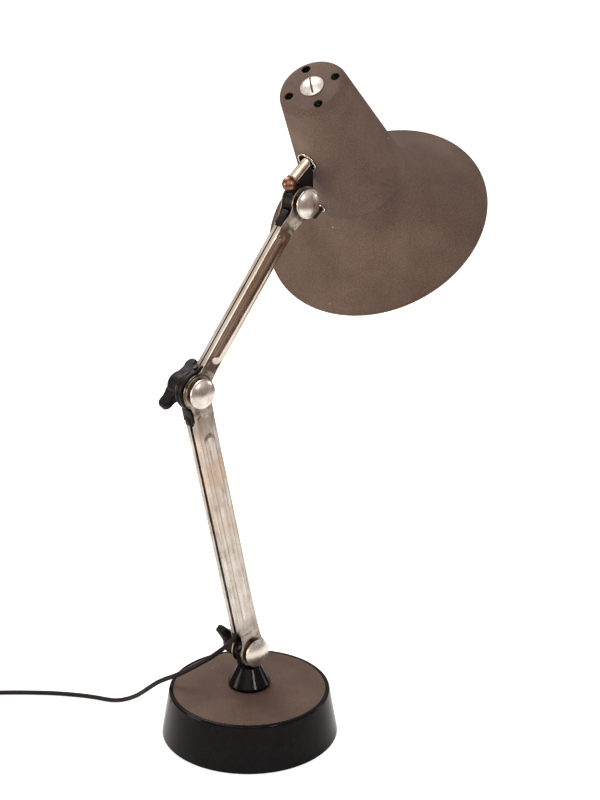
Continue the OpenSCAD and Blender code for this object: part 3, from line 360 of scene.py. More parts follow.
def slab(outline, y0, y1):
    bm = bmesh.new()
    face = bm.faces.new([bm.verts.new((x, y0, z)) for x, z in outline])
    grown = bmesh.ops.extrude_face_region(bm, geom=[face])
    moved = [part for part in grown["geom"] if isinstance(part, bmesh.types.BMVert)]
    bmesh.ops.translate(bm, verts=moved, vec=(0, y1 - y0, 0))
    bmesh.ops.recalc_face_normals(bm, faces=bm.faces)
    return bm


def arc(centre, radius, start, end, count=8):
    angles = [math.radians(start + (end - start) * i / count) for i in range(count + 1)]
    return [(centre[0] + radius * math.cos(a), centre[1] + radius * math.sin(a)) for a in angles]


def dome(edgeR, edgeZ, rise, count=10):
    radius = (edgeR ** 2 + rise ** 2) / (2 * rise)
    reach = math.degrees(math.asin(min(1, edgeR / radius)))
    return arc((0, edgeZ + rise - radius), radius, 90 - reach, 90, count)


def absorb(bm, other, matrix=None):
    mesh = bpy.data.meshes.new("part")
    other.to_mesh(mesh)
    other.free()
    if matrix:
        mesh.transform(matrix)
    bm.from_mesh(mesh)
    bpy.data.meshes.remove(mesh)
    return bm


def rounded(bm, width, segments=3, sharp=30):
    limit = math.radians(sharp)
    edges = [e for e in bm.edges if len(e.link_faces) == 2 and e.calc_face_angle(0) > limit]
    bmesh.ops.bevel(bm, geom=edges, offset=width, segments=segments, profile=0.5, affect="EDGES",
                    material=-1, clamp_overlap=True)
    return bm


def settle(bm, name, body, look, place, nodes=(), sharp=35):
    bm.transform(place)
    if place.to_3x3().determinant() < 0:
        bmesh.ops.reverse_faces(bm, faces=bm.faces)
    mesh = bpy.data.meshes.new(name)
    bm.to_mesh(mesh)
    bm.free()
    mesh.shade_smooth()
    mesh.set_sharp_from_angle(angle=math.radians(sharp))
    piece = bpy.data.objects.new(name, mesh)
    bpy.context.scene.collection.objects.link(piece)
    for each in ([look] if isinstance(look, str) else look):
        mesh.materials.append(looks[each])
    if body:
        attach(piece, body)
    if nodes:
        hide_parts(*nodes)
    return piece


def cutWith(piece, cutters):
    for cutter in cutters:
        mesh = bpy.data.meshes.new("cutter")
        cutter.to_mesh(mesh)
        cutter.free()
        tool = bpy.data.objects.new("cutter", mesh)
        bpy.context.scene.collection.objects.link(tool)
        cut = piece.modifiers.new("cut", "BOOLEAN")
        cut.object, cut.operation, cut.solver = tool, "DIFFERENCE", "EXACT"
        bpy.context.view_layer.update()
        result = bpy.data.meshes.new_from_object(piece.evaluated_get(bpy.context.evaluated_depsgraph_get()))
        piece.modifiers.remove(cut)
        old, piece.data = piece.data, result
        result.name = piece.name
        bpy.data.meshes.remove(old)
        bpy.data.objects.remove(tool)
        bpy.data.meshes.remove(mesh)
    piece.data.set_sharp_from_angle(angle=math.radians(35))


# Flex: out of the lower arm, over the rim, along the table to a tied coil, and into the plug
flex = {"radius": 2.3, "length": 1.82, "coilCentre": (-212, 226), "outside": 35.2,
        "rows": {"B": 3.25, "M": 7.85, "T": 12.45}, "columns": {"out": 30.6, "mid": 26.0, "in": 21.4},
        "turns": ["Bout", "Bmid", "Bin", "Min", "Mmid", "Tmid", "Tout", "Mout"],
        "leaveAt": 141.8, "crossing": (150, 220), "step": 7.5,
        "route": [(-15, 0, 110), (-20, 0.4, 105.2), (-25, 2, 100.4), (-30.6, 7, 94), (-36, 15, 85.6),
                  (-41.5, 25.6, 76.4), (-47, 38, 66.4), (-51.6, 50, 57.6), (-54.6, 59.6, 51.6),
                  (-57.6, 69, 45), (-60, 79, 36.4), (-61.4, 89, 27.4), (-62.6, 100, 18.6), (-64.4, 112, 11),
                  (-67, 124, 5.4), (-70.6, 136, 2.7), (-76, 147, 2.4), (-83, 158, 2.4), (-91, 168.6, 2.4),
                  (-100, 179.4, 2.4), (-110, 190, 2.4), (-121, 200.6, 2.4), (-132, 210.6, 2.4),
                  (-143, 220, 2.4), (-155, 229.6, 2.4), (-168, 238.4, 2.4), (-183, 246.4, 2.5)],
        "tail": [(-247, 231, 7.4), (-249, 221, 6.3), (-250.4, 211, 5.5), (-251.2, 201, 5.3), (-251.7, 191, 6),
                 (-252, 181, 7.1)]}


def smoothStep(t):
    t = max(0.0, min(1.0, t))
    return t * t * (3 - 2 * t)


def coilPoint(angle):
    start, end = flex["crossing"]
    slots = [(flex["outside"], flex["rows"]["B"])]
    slots += [(flex["columns"][turnName[1:]], flex["rows"][turnName[0]]) for turnName in flex["turns"]]
    index = max(0, math.floor((angle - start) / 360))
    within = angle - start - 360 * index
    share = smoothStep(within / (end - start)) if angle >= start else 0
    before, after = slots[index], slots[min(index + 1, len(slots) - 1)]
    if angle < start:
        after = before
    radius = before[0] + (after[0] - before[0]) * share
    height = before[1] + (after[1] - before[1]) * share
    a = math.radians(angle)
    return (flex["coilCentre"][0] + radius * math.cos(a), flex["coilCentre"][1] + radius * math.sin(a), height)


def flexPath():
    last = flex["leaveAt"] + 360 * len(flex["turns"])
    count = round((last - 42) / flex["step"])
    coil = [coilPoint(42 + (last - 42) * i / count) for i in range(count + 1)]
    return [Vector(p) * mm for p in flex["route"] + coil + flex["tail"]]


def smoothPath(points, pieces=4):
    out = []
    for i in range(len(points) - 1):
        p0, p1 = points[max(i - 1, 0)], points[i]
        p2, p3 = points[i + 1], points[min(i + 2, len(points) - 1)]
        for k in range(pieces):
            t = k / pieces
            out.append(0.5 * (2 * p1 + (p2 - p0) * t
                              + (2 * p0 - 5 * p1 + 4 * p2 - p3) * t * t + (3 * p1 - p0 - 3 * p2 + p3) * t ** 3))
    return out + [points[-1]]


def tube(points, radius, name, sides=12):
    curve = bpy.data.curves.new(name + "Line", "CURVE")
    curve.dimensions = "3D"
    spline = curve.splines.new("POLY")
    spline.points.add(len(points) - 1)
    for point, place in zip(spline.points, points):
        point.co = (*place, 1)
    curve.bevel_depth = radius
    curve.bevel_resolution = max(1, sides // 4 - 1) + 1
    curve.use_fill_caps = True
    holder = bpy.data.objects.new(name + "Line", curve)
    bpy.context.scene.collection.objects.link(holder)
    bpy.context.view_layer.update()
    mesh = bpy.data.meshes.new_from_object(holder.evaluated_get(bpy.context.evaluated_depsgraph_get()))
    bpy.data.objects.remove(holder)
    bpy.data.curves.remove(curve)
    bm = bmesh.new()
    bm.from_mesh(mesh)
    bpy.data.meshes.remove(mesh)
    bmesh.ops.remove_doubles(bm, verts=bm.verts, dist=0.000001)
    bmesh.ops.recalc_face_normals(bm, faces=bm.faces)
    return bm


cordPath = smoothPath(flexPath(), 3)
cordLength = sum((b - a).length for a, b in zip(cordPath, cordPath[1:]))
print("flex length", round(cordLength, 4))
cord = settle(tube(cordPath, flex["radius"] * mm, "flexCord"), "flexCord", None, "flexSleeve",
              Matrix.Identity(4))
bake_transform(cord)
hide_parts("cord", "cord_coil")

# Plug: moulded body with finger grips and a ribbed relief, two round pins
plug = {"at": (-252, 182, 7.1), "turn": -92, "thick": 14, "gap": 19}
atPlug = Matrix.Scale(mm, 4) @ Matrix.Translation(plug["at"]) @ Matrix.Rotation(math.radians(plug["turn"]), 4, "Z")
outline = [(20, -6), (28, -13), (49, -13), (54, -11), (54, 11), (49, 13), (28, 13), (20, 6)]
shell = rounded(slab(outline, -plug["thick"] / 2, plug["thick"] / 2), 2.4, 4)
plugMesh = absorb(bmesh.new(), shell, Matrix.Rotation(math.pi / 2, 4, "X"))
ribs = [(2.55, 0.2), (3.3, 0.2)]
for i in range(6):
    z = 1 + 3.1 * i
    ribs += [(3.4 + 0.3 * i, z), (3.5 + 0.3 * i, z + 2.1), (3.0 + 0.3 * i, z + 2.3), (3.0 + 0.3 * i, z + 2.9)]
ribs += [(5.3, 20.6), (2.55, 20.6)]
absorb(plugMesh, rounded(lathe(ribs, 32), 0.2, 2), alongTube)
plugPiece = settle(plugMesh, "plugBody", "post", "mouldedPlastic", atPlug, ["plug_body"])
pins = bmesh.new()
for side in (-1, 1):
    pin = lathe([(0, 46), (2, 46), (2, 71.6), (1.5, 73), (0, 73)], 32)
    absorb(pins, rounded(pin, 0.3, 2), Matrix.Translation((0, side * plug["gap"] / 2, 0)) @ alongTube)
pinPiece = settle(pins, "plugPins", "post", "wornBrass", atPlug, ["plug_pins"])

# Tie: a flat moulded band round the coil's bundle
tie = {"angle": 300, "span": 15.4, "wide": 7, "wall": 0.75}
tieMesh = bmesh.new()
bmesh.ops.create_cube(tieMesh, size=1, matrix=Matrix.Diagonal((tie["span"], tie["wide"], tie["span"], 1)))
hollow = [f for f in tieMesh.faces if abs(f.normal.y) > 0.9]
bmesh.ops.inset_region(tieMesh, faces=hollow, thickness=tie["wall"], use_even_offset=True)
bmesh.ops.delete(tieMesh, geom=hollow, context="FACES_ONLY")
rims = [e for e in tieMesh.edges if e.is_boundary]
bmesh.ops.bridge_loops(tieMesh, edges=rims)
rounded(tieMesh, 0.25, 2)
atTie = Matrix.Scale(mm, 4) @ Matrix.Translation((*flex["coilCentre"], 7.8))
atTie = atTie @ Matrix.Rotation(math.radians(tie["angle"]), 4, "Z") @ Matrix.Translation((flex["columns"]["mid"], 0, 0))
tiePiece = settle(tieMesh, "coilTie", "post", "mouldedPlastic", atTie, ["cord_tie"])
print("flex laid")


# Base
base = {"footR": 85, "rimR": 77.8, "height": 47.4, "rimRound": 2.5, "seatR": 73.7, "seatZ": 45.75, "coverR": 73.5,
        "coverTop": 50.6, "coverEdge": 47.0, "coverFlat": 22, "sheet": 1.2}


def baseShell():
    b = base
    profile = [(84.2, 0.6), (b["footR"], 1.4), (84.7, 3.6)]
    profile += arc((b["rimR"] - b["rimRound"], b["height"] - b["rimRound"]), b["rimRound"], 4, 90, 8)
    profile += arc((74.7, 46.4), 1.0, 90, 180, 5)
    profile += [(b["seatR"], b["seatZ"]), (70, b["seatZ"]), (70, 42.55), (73.8, 42.55), (79.2, 4.05),
                (82.25, 4.05), (82.25, 0.6)]
    settle(lathe(profile, 160), "baseShell", "base", "glossPhenolic", atFloor, ["base_shell"])


def baseCover():
    b = base
    run, rise = b["coverR"] - b["coverFlat"], b["coverTop"] - b["coverEdge"]
    radius = (run ** 2 + rise ** 2) / (2 * rise)
    fall = [(b["coverFlat"] + run * i / 12, radius - math.sqrt(radius ** 2 - (run * i / 12) ** 2)) for i in range(13)]
    top = [(r, b["coverTop"] - z) for r, z in fall]
    under = [(r, z - b["sheet"]) for r, z in reversed(top)]
    profile = [(6.4, b["coverTop"])] + top + [(b["coverR"] + 0.1, b["coverEdge"] - 0.6)]
    profile += under + [(6.4, b["coverTop"] - b["sheet"])]
    settle(lathe(profile, 160), "baseCover", "base", "wrinkleEnamel", atFloor, ["base_cover"])


baseShell()
baseCover()

# Post
post = {"z": 50.7, "foot": 20.4, "neck": 11.3, "hinge": 37.9, "half": 5.35, "ear": 14.5}


def pivotPost():
    p = post
    cone = lathe([(0, 0), (19.4, 0), (20.2, 0.6), (p["foot"], 1.6), (p["foot"], 3.6), (19.6, 4.6),
                  (p["neck"] + 0.2, 20.4), (10.9, 21.2), (10.1, 21.6), (0, 21.6)], 96)
    bm = absorb(bmesh.new(), rounded(cone, 0.5, 3, 20))
    tongue = [(-9, 17)] + arc((0, p["hinge"]), p["ear"], 213, -33, 28) + [(9, 17)]
    absorb(bm, rounded(slab(tongue, -p["half"], p["half"]), 0.7, 3))
    settle(bm, "pivotPost", "post", "glossPhenolic",
           atFloor @ Matrix.Translation((0, 0, p["z"])), ["pivot_post"])


pivotPost()
print("base and post made")

# Hinge hardware
cap = {"from": 8.0, "collarR": 12.6, "collar": 3.6, "rimR": 13.9, "rim": 1.8, "domeR": 12.9, "rise": 3.6, "shaft": 4.0}


def hingeBolt(name, place, body, tip, node):
    c = cap
    rimZ = c["from"] + c["collar"]
    top = rimZ + c["rim"]
    profile = [(0, -tip), (c["shaft"] - 0.6, -tip), (c["shaft"], 0.6 - tip), (c["shaft"], c["from"]),
               (c["collarR"], c["from"]), (c["collarR"], rimZ), (c["rimR"] - 0.4, rimZ), (c["rimR"], rimZ + 0.4),
               (c["rimR"], top - 0.7), (c["rimR"] - 0.25, top - 0.2)]
    bm = lathe(profile + dome(c["domeR"], top, c["rise"], 14), 96)
    for face in bm.faces:
        centre = face.calc_center_median()
        face.material_index = 1 if centre.z < rimZ + 0.1 else 0
    settle(bm, name, body, ["satinChrome", "brownedSteel"], place @ towardBolt, [node], sharp=30)


hingeBolt("baseBolt", atBaseHinge, "lower_arm", 22.9, "base_hinge_bolt")
hingeBolt("elbowBolt", atElbow, "lower_arm", 21.9, "elbow_bolt")
hingeBolt("headBolt", atHead, "upper_arm", 15.9, "head_bolt")

washers = [("baseWashers", atBaseHinge, "lower_arm", 15.3, 5.45, "base_hinge_washers"),
           ("elbowWashers", atElbow, "lower_arm", 16.8, 5.45, "elbow_washers"),
           ("headWashers", atHead, "upper_arm", 15.0, 5.65, "head_washers")]
for name, place, body, radius, start, node in washers:
    pair = bmesh.new()
    for side in (towardBolt, towardKnob):
        ring = lathe([(4.05, start), (radius, start), (radius, start + 1.15), (4.05, start + 1.15)], 96)
        absorb(pair, rounded(ring, 0.25, 2), side)
    for face in pair.faces:
        # The washer on the knob side is browned steel, painted shade; the one on the bolt side is brass
        face.material_index = 1 if face.calc_center_median().y > 0 else 0
    settle(pair, name, body, ["wornBrass", "brownedSteel"], place, [node])

knob = {"lobeR": 6.8, "lobeAt": (20.2, 12.8), "thick": 4.6}


def wingKnob(name, place, body, start, turned, node):
    k = knob
    hub = [(0, 0), (11.6, 0), (12.6, 0.9), (12.7, 12.0), (12.0, 14.8), (10.0, 17.3), (6.8, 18.6),
           (2.5, 19.0), (0, 19.05)]
    bm = absorb(bmesh.new(), lathe(hub, 64))
    x, z = k["lobeAt"]
    lobe = [(0, 2.0), (11.5, 2.2), (14.2, 3.4), (17.2, 5.4)] + arc((x, z), k["lobeR"], -72, 112, 14)
    lobe += [(14.4, 18.9), (11, 18.6), (0, 18.6)]
    for half in (0, math.pi):
        wing = rounded(slab(lobe, -k["thick"], k["thick"]), 2.4, 5)
        bmesh.ops.subdivide_edges(wing, edges=[e for e in wing.edges if e.calc_length() > 4],
                                  cuts=5, use_grid_fill=True)
        for vert in wing.verts:
            vert.co.y *= 1.45 - 0.6 * smoothStep((vert.co.x - 8) / 9)
        absorb(bm, wing, Matrix.Rotation(half - math.radians(turned), 4, "Z"))
    settle(bm, name, body, "mouldedPlastic",
           place @ towardKnob @ Matrix.Translation((0, 0, start)), [node], sharp=40)


wingKnob("baseKnob", atBaseHinge, "base_knob", 9.5, 132, "base_knob")
wingKnob("elbowKnob", atElbow, "elbow_knob", 8.5, 42, "elbow_knob")
print("hinges made")

# Arms
lowerRail = {"wide": 22.8, "half": 7.9, "slot": 2.0, "sheet": 1.2, "bend": 1.8, "from": 24, "to": 261.2,
             "beadHalf": 5.6, "beadEdge": 1.3, "beadFrom": 36, "beadTo": 243, "rise": 0.5, "crown": 0.12, "rows": 150}
upperRail = {"wide": 17.4, "half": 5.35, "slot": 0.8, "sheet": 1.0, "bend": 1.5, "from": 22, "to": 166.2,
             "beadHalf": 5.0, "beadEdge": 2.2, "beadFrom": 33, "beadTo": 158, "rise": 0.14, "crown": 0.95, "rows": 110}


def railSkin(r):
    flange = r["half"] - r["slot"] - r["bend"]
    quarter = r["bend"] * math.pi / 2
    web = r["wide"] - 2 * r["bend"]
    total = 2 * (flange + quarter) + web
    bm = bmesh.new()
    bmesh.ops.create_grid(bm, x_segments=72, y_segments=r["rows"], size=0.5)
    for vert in bm.verts:
        across, z = vert.co.x * total, r["from"] + (vert.co.y + 0.5) * (r["to"] - r["from"])
        side = 1 if across > 0 else -1
        over = abs(across) - web / 2
        if over <= 0:
            x, y = across, -r["half"]
            near = min(max(z, r["beadFrom"] + r["beadHalf"]), r["beadTo"] - r["beadHalf"])
            away = math.hypot(x, z - near)
            y -= r["rise"] * smoothStep((r["beadHalf"] - away) / r["beadEdge"] + 0.5)
            y -= r["crown"] * (1 - (2 * x / web) ** 2) * smoothStep((r["beadHalf"] - away) / r["beadHalf"] + 0.6)
        elif over < quarter:
            a = over / r["bend"]
            x = side * (web / 2 + r["bend"] * math.sin(a))
            y = -r["half"] + r["bend"] * (1 - math.cos(a))
        else:
            x, y = side * r["wide"] / 2, -r["half"] + r["bend"] + over - quarter
        vert.co = (x, y, z)
    bmesh.ops.recalc_face_normals(bm, faces=bm.faces)
    halfway = Vector((0, -r["half"], (r["from"] + r["to"]) / 2))
    middle = min(bm.faces, key=lambda f: (f.calc_center_median() - halfway).length)
    if middle.normal.y > 0:
        bmesh.ops.reverse_faces(bm, faces=bm.faces)
    bmesh.ops.solidify(bm, geom=bm.faces, thickness=r["sheet"])
    return bm


def earPlate(wide, sheet, y, centreZ, earR, reach):
    up = 1 if reach > centreZ else -1
    half = wide / 2 - 0.25
    start = math.degrees(math.asin(half / earR)) + 10
    circle = arc((0, 0), earR, 90 - start, start - 270, 40)
    cornerX, cornerZ = circle[0]
    side = [(half, abs(reach - centreZ)), (half, cornerZ + 9),
            (half + 0.25 * (cornerX - half), cornerZ + 4.5), (half + 0.6 * (cornerX - half), cornerZ + 1.8)]
    outline = side + circle + [(-x, z) for x, z in reversed(side)]
    return slab([(x, centreZ + up * z) for x, z in outline], y, y + sheet)


def splay(bm, zStart, zEnd, outward):
    for i in range(9):
        cut = zStart + (zEnd - zStart) * i / 8
        bmesh.ops.bisect_plane(bm, geom=bm.verts[:] + bm.edges[:] + bm.faces[:], plane_co=(0, 0, cut),
                               plane_no=(0, 0, 1))
    for vert in bm.verts:
        vert.co.y -= outward * smoothStep((vert.co.z - zStart) / (zEnd - zStart))
    return bm


def dulled(bm):
    for face in bm.faces:
        face.material_index = 1
    return bm


def lowerRailPiece(name, mirror, node):
    r = lowerRail
    bm = railSkin(r)
    for centre, reach in ((0, 26), (288.2, 259)):
        absorb(bm, dulled(rounded(earPlate(r["wide"], r["sheet"], -r["half"] + 0.04, centre, 15.3, reach), 0.3, 3)))
    settle(bm, name, "lower_arm", ["wornNickel", "dullNickel"], atLower @ mirror, [node])


def upperRailPiece(name, mirror, node):
    r = upperRail
    bm = railSkin(r)
    absorb(bm, dulled(rounded(earPlate(r["wide"], r["sheet"], -r["half"] + 0.04, 0, 15.3, 25), 0.3, 3)))
    headEar = rounded(earPlate(r["wide"], r["sheet"], -r["half"] + 0.04, 197.2, 15.3, 163), 0.3, 3)
    absorb(bm, dulled(splay(headEar, 170, 182.5, 2.55)))
    settle(bm, name, "upper_arm", ["brightNickel", "dullNickel"], atUpper @ mirror, [node])


asMade = Matrix.Identity(4)
mirrored = Matrix.Scale(-1, 4, Vector((0, 1, 0)))
lowerRailPiece("lowerRailFront", asMade, "lower_rail_front")
lowerRailPiece("lowerRailBack", mirrored, "lower_rail_back")
upperRailPiece("upperRailFront", asMade, "upper_rail_front")
upperRailPiece("upperRailBack", mirrored, "upper_rail_back")

# Guide block in the lower arm, hollowed round the elbow block, with a nub over the slot
guide = {"half": 6.6, "nubHalf": 3.4, "hollow": 18.8}
hollowArc = arc((0, 0), guide["hollow"], -79, -133.7, 10)
guideMesh = rounded(slab(hollowArc + [(-13, -24), (-13.2, -26.7), (3.6, -26.7)], -guide["half"], guide["half"]), 0.6, 3)
nub = [(-13, -20), (-14, -24.5), (-14.6, -27), (-14.2, -30), (-12.6, -31.6), (-9, -32), (3.6, -32), (3.6, -20)]
absorb(guideMesh, rounded(slab(nub, -guide["nubHalf"], guide["nubHalf"]), 1.0, 4))
settle(guideMesh, "guideBlock", "lower_arm", "mouldedPlastic",
       placeAt(elbowHinge, elbowHinge - baseHinge, hingeY), ["lower_block"])

# Round elbow block with a ridge round its rim and a tongue up the upper arm's slot
ridged = [(4.1, -4.25), (17.3, -4.25), (18.5, -3.3), (18.5, -1.3), (17.6, -0.9), (17.6, 0.9),
          (18.5, 1.3), (18.5, 3.3), (17.3, 4.25), (4.1, 4.25)]
blockTongue = [(-15.5, 8), (-9.9, 21.5), (-7.5, 22), (-7.5, 31), (2.65, 31), (2.65, 8)]
elbowBlock = absorb(bmesh.new(), rounded(lathe(ridged, 96), 0.25, 2), towardBolt)
absorb(elbowBlock, rounded(slab(blockTongue, -4.25, 4.25), 0.6, 3))
settle(elbowBlock, "elbowBlock", "upper_arm", "mouldedPlastic", atUpper, ["elbow_block"])

spacerOutline = [(-7.5, 154.2), (2.65, 154.2), (2.65, 182.9), (-9.9, 182.9), (-9.9, 169.2), (-7.5, 167.2)]
settle(rounded(slab(spacerOutline, -4.25, 4.25), 0.5, 3), "headSpacer", "upper_arm",
       "mouldedPlastic", atUpper, ["head_spacer"])
print("arms made")

# Leads inside the arms, and the lead from the arm to the shade
wall = {"topR": 32.3, "topZ": 54.4, "slope": 0.1348, "eyelet": -60}
wallLean = math.atan(wall["slope"])


def neckRadius(z):
    return wall["topR"] + (wall["topZ"] - z) * wall["slope"]


def aroundHinge(centre, radius, degrees):
    a = math.radians(degrees)
    return centre + Vector((math.cos(a), 0, math.sin(a))) * radius * mm


def byEyelet(inward):
    return atShade @ Vector((inward * math.cos(wallLean) - neckRadius(wall["eyelet"]), 0,
                             wall["eyelet"] - inward * math.sin(wallLean)))


leadRadius = 2.25
elbowLead = [atLower @ Vector((6.3, 0, z)) for z in (252.2, 257.2, 266.2)]
elbowLead += [aroundHinge(elbowHinge, 13.2 + 1.4 * ((i - 2.5) / 2.5) ** 2, -49.66 + 75.79 * i / 5) for i in range(6)]
elbowLead += [atUpper @ Vector((5.25, 0, z)) for z in (20.5, 26, 36)]
lead = settle(tube(smoothPath(elbowLead, 5), leadRadius * mm, "elbowLead"), "elbowLead", None, "flexSleeve",
              Matrix.Identity(4))
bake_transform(lead)
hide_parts("elbow_lead")

underHead = [atUpper @ Vector((5.25, 0, z)) for z in (170.2, 173.2)]
underHead += [aroundHinge(headHinge, 17.8, degrees) for degrees in (-96, -76, -56, -36)]
toShade = [byEyelet(inward) for inward in (-12, -6, 4)]
leadSteps = 6
wholeLead = smoothPath(underHead + toShade, leadSteps)
joinAt = leadSteps * 4    # where it passes from the arm to the shade
first = settle(tube(wholeLead[:joinAt + 1], leadRadius * mm, "headLeadArm"), "headLeadArm", None, "flexSleeve",
               Matrix.Identity(4))
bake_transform(first)
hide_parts("head_lead")
second = settle(tube(wholeLead[joinAt:], leadRadius * mm, "headLeadShade"), "headLeadShade", None, "flexSleeve",
                Matrix.Identity(4))
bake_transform(second)

# Head
tubeRise = 21.7
atTube = atTubeFrame @ Matrix.Translation((0, 0, tubeRise)) @ alongTube
tubeShape = [(3.5, 11.5), (3.5, 87.3), (5, 87.3), (5, 32), (5.35, 32), (5.35, 30.2), (5, 30.2), (5, 7.5),
             (0.01, 7.5), (0.01, 11.5)]
settle(rounded(lathe(tubeShape, 64), 0.25, 2), "swivelTube", "knuckle", "tubeNickel", atTube, ["swivel_tube"])
nutShape = arc((0, 1.5), 6.7, -90, 36, 18) + [(5.2, 5.75), (6.0, 5.9), (6.0, 7.35), (0, 7.35)]
settle(rounded(lathe(nutShape, 64), 0.15, 2, 50), "ballNut", "knuckle", "copperPlate", atTube, ["ball_nut"])

# Shade
neck = {"up": 62.4, "down": -68, "lowR": 48.8, "edgeR": 8, "screwHole": 3.1, "ventRing": 22.2, "ventR": 4.2,
        "sheet": 0.9, "vents": (53, 143, 233, 323)}
brim = {"lipR": 47.3, "lipZ": -65.4, "throatR": 44.3, "throatZ": -66.3, "edgeR": 109, "edgeZ": -140.4, "hollow": 9,
        "sheet": 0.9, "roll": 1.0}


def atWall(z):
    return atShade @ Matrix.Translation((-neckRadius(z), 0, z)) @ Matrix.Rotation(math.pi / 2 + wallLean, 4, "Y")


def innerFinish(bm):    # the second finish on every face that looks inwards
    for face in bm.faces:
        centre = face.calc_center_median()
        radial = Vector((centre.x, centre.y, 0)).normalized()
        if face.normal.dot(radial) < -0.2 or (face.normal.z < -0.5 and centre.z > 50):
            face.material_index = 1
    return bm


def shadeNeck():
    n = neck
    topR = wall["topR"] - n["edgeR"]
    outer = [(n["screwHole"], n["up"]), (12, n["up"]), (topR - 2, n["up"])]
    outer += arc((topR, wall["topZ"]), n["edgeR"], 90, 0, 12) + [(n["lowR"], n["down"])]
    inner = [(topR - 2, n["up"] - n["sheet"])] + arc((topR, wall["topZ"]), n["edgeR"] - n["sheet"], 90, 0, 12)
    profile = outer + [(n["lowR"] - n["sheet"], n["down"])] + list(reversed(inner))
    profile += [(n["screwHole"], n["up"] - n["sheet"])]
    # The neck's inside is black enamel: painted shade that keeps the vents and the grommet's hole dark
    piece = settle(innerFinish(lathe(profile, 144)), "shadeNeck", "shade",
                   ["wrinkleEnamel", "blackEnamel"], atShade, ["shade_neck"])
    cutters = []
    for degrees in n["vents"]:
        vent = lathe([(0, -3), (n["ventR"], -3), (n["ventR"], 3), (0, 3)], 40)
        onRing = Matrix.Rotation(math.radians(degrees), 4, "Z") @ Vector((n["ventRing"], 0, n["up"]))
        vent.transform(atShade @ Matrix.Translation(onRing))
        cutters.append(vent)
    for z, radius in ((0, 9.4), (wall["eyelet"], 3.4)):
        hole = lathe([(0, -5), (radius, -5), (radius, 5), (0, 5)], 48)
        hole.transform(atWall(z))
        cutters.append(hole)
    cutWith(piece, cutters)


def bowed(a, b, hollow, count=28):
    a, b = Vector(a), Vector(b)
    half = (b - a).length / 2
    radius = (half ** 2 + hollow ** 2) / (2 * hollow)
    way = (b - a).normalized()
    left = Vector((-way.y, way.x))
    centre = (a + b) / 2 + left * (radius - hollow)
    reach = math.asin(half / radius)
    out = []
    for i in range(count + 1):
        angle = -reach + 2 * reach * i / count
        out.append(tuple(centre - left * radius * math.cos(angle) + way * radius * math.sin(angle)))
    return out


def shadeBrim():
    b = brim
    outer = bowed((b["throatR"], b["throatZ"]), (b["edgeR"], b["edgeZ"]), b["hollow"])
    inner = bowed((b["throatR"] - b["sheet"], b["lipZ"]), (b["edgeR"] - 0.63, b["edgeZ"] - 0.6), b["hollow"])
    profile = [(b["lipR"], b["lipZ"]), (b["lipR"], b["throatZ"])] + outer + list(reversed(inner))
    bm = innerFinish(lathe(profile, 176))
    absorb(bm, lathe(arc((b["edgeR"] - 0.9, b["edgeZ"] - 0.1), b["roll"], 0, 345, 12), 176))
    settle(bm, "shadeBrim", "shade", ["wrinkleEnamel", "creamEnamel"], atShade, ["shade_brim"])


shadeNeck()
shadeBrim()

screw = {"r": 11, "z": 62.5, "rise": 3.4, "slotTurn": 47, "slotHalf": 0.95, "slotFloor": 64.0}
head = lathe([(0, 40), (2.7, 40), (3, 40.4), (3, screw["z"]), (screw["r"] - 0.2, screw["z"]),
              (screw["r"], screw["z"] + 0.2)]
             + dome(screw["r"] - 0.1, screw["z"] + 0.5, screw["rise"] - 0.4, 12), 96)
across = Matrix.Rotation(math.radians(screw["slotTurn"]), 3, "Z") @ Vector((0, 1, 0))
for side in (-1, 1):
    bmesh.ops.bisect_plane(head, geom=head.verts[:] + head.edges[:] + head.faces[:],
                           plane_co=across * side * screw["slotHalf"], plane_no=across)
inSlot = [face for face in head.faces if abs(face.calc_center_median().dot(across)) < screw["slotHalf"]
          and face.calc_center_median().z > screw["slotFloor"]]
# The slot's floor and walls take the second finish, browned steel: painted shade in the slot
sunk = bmesh.ops.extrude_face_region(head, geom=inSlot)
for part in sunk["geom"]:
    if isinstance(part, bmesh.types.BMVert):
        part.co.z = screw["slotFloor"]
    if isinstance(part, bmesh.types.BMFace):
        part.material_index = 1
bmesh.ops.delete(head, geom=[face for face in inSlot if face.is_valid], context="FACES")
for face in head.faces:
    middle = face.calc_center_median()
    nearSlot = abs(middle.dot(across)) < screw["slotHalf"] + 0.01 and middle.z > screw["slotFloor"] - 0.01
    if nearSlot and abs(face.normal.z) < 0.3:
        face.material_index = 1
settle(head, "topScrew", "shade", ["satinChrome", "brownedSteel"], atShade, ["top_screw"])

for name, z, bore, lip, node in (("grommetRing", 0, 8.5, 1.0, "grommet_ring"),
                                 ("leadEyelet", wall["eyelet"], 2.55, 1.0, "lead_eyelet")):
    outer = bore + 0.8 + lip
    ring = lathe([(bore, 2.5), (bore, -0.7), (bore + 0.5, -1.4), (outer - 0.5, -1.4), (outer, -0.9), (outer, -0.1),
                  (bore + 0.8, -0.1), (bore + 0.8, 2.5)], 72)
    rounded(ring, 0.25, 3)
    # The bore's inner faces take the second finish, browned steel: painted shade inside the hole
    for face in ring.faces:
        middle = face.calc_center_median()
        face.material_index = 1 if middle.z > -0.6 and face.normal.dot(Vector((middle.x, middle.y, 0))) < 0 else 0
    settle(ring, name, "shade", ["tubeNickel", "brownedSteel"], atWall(z), [node])

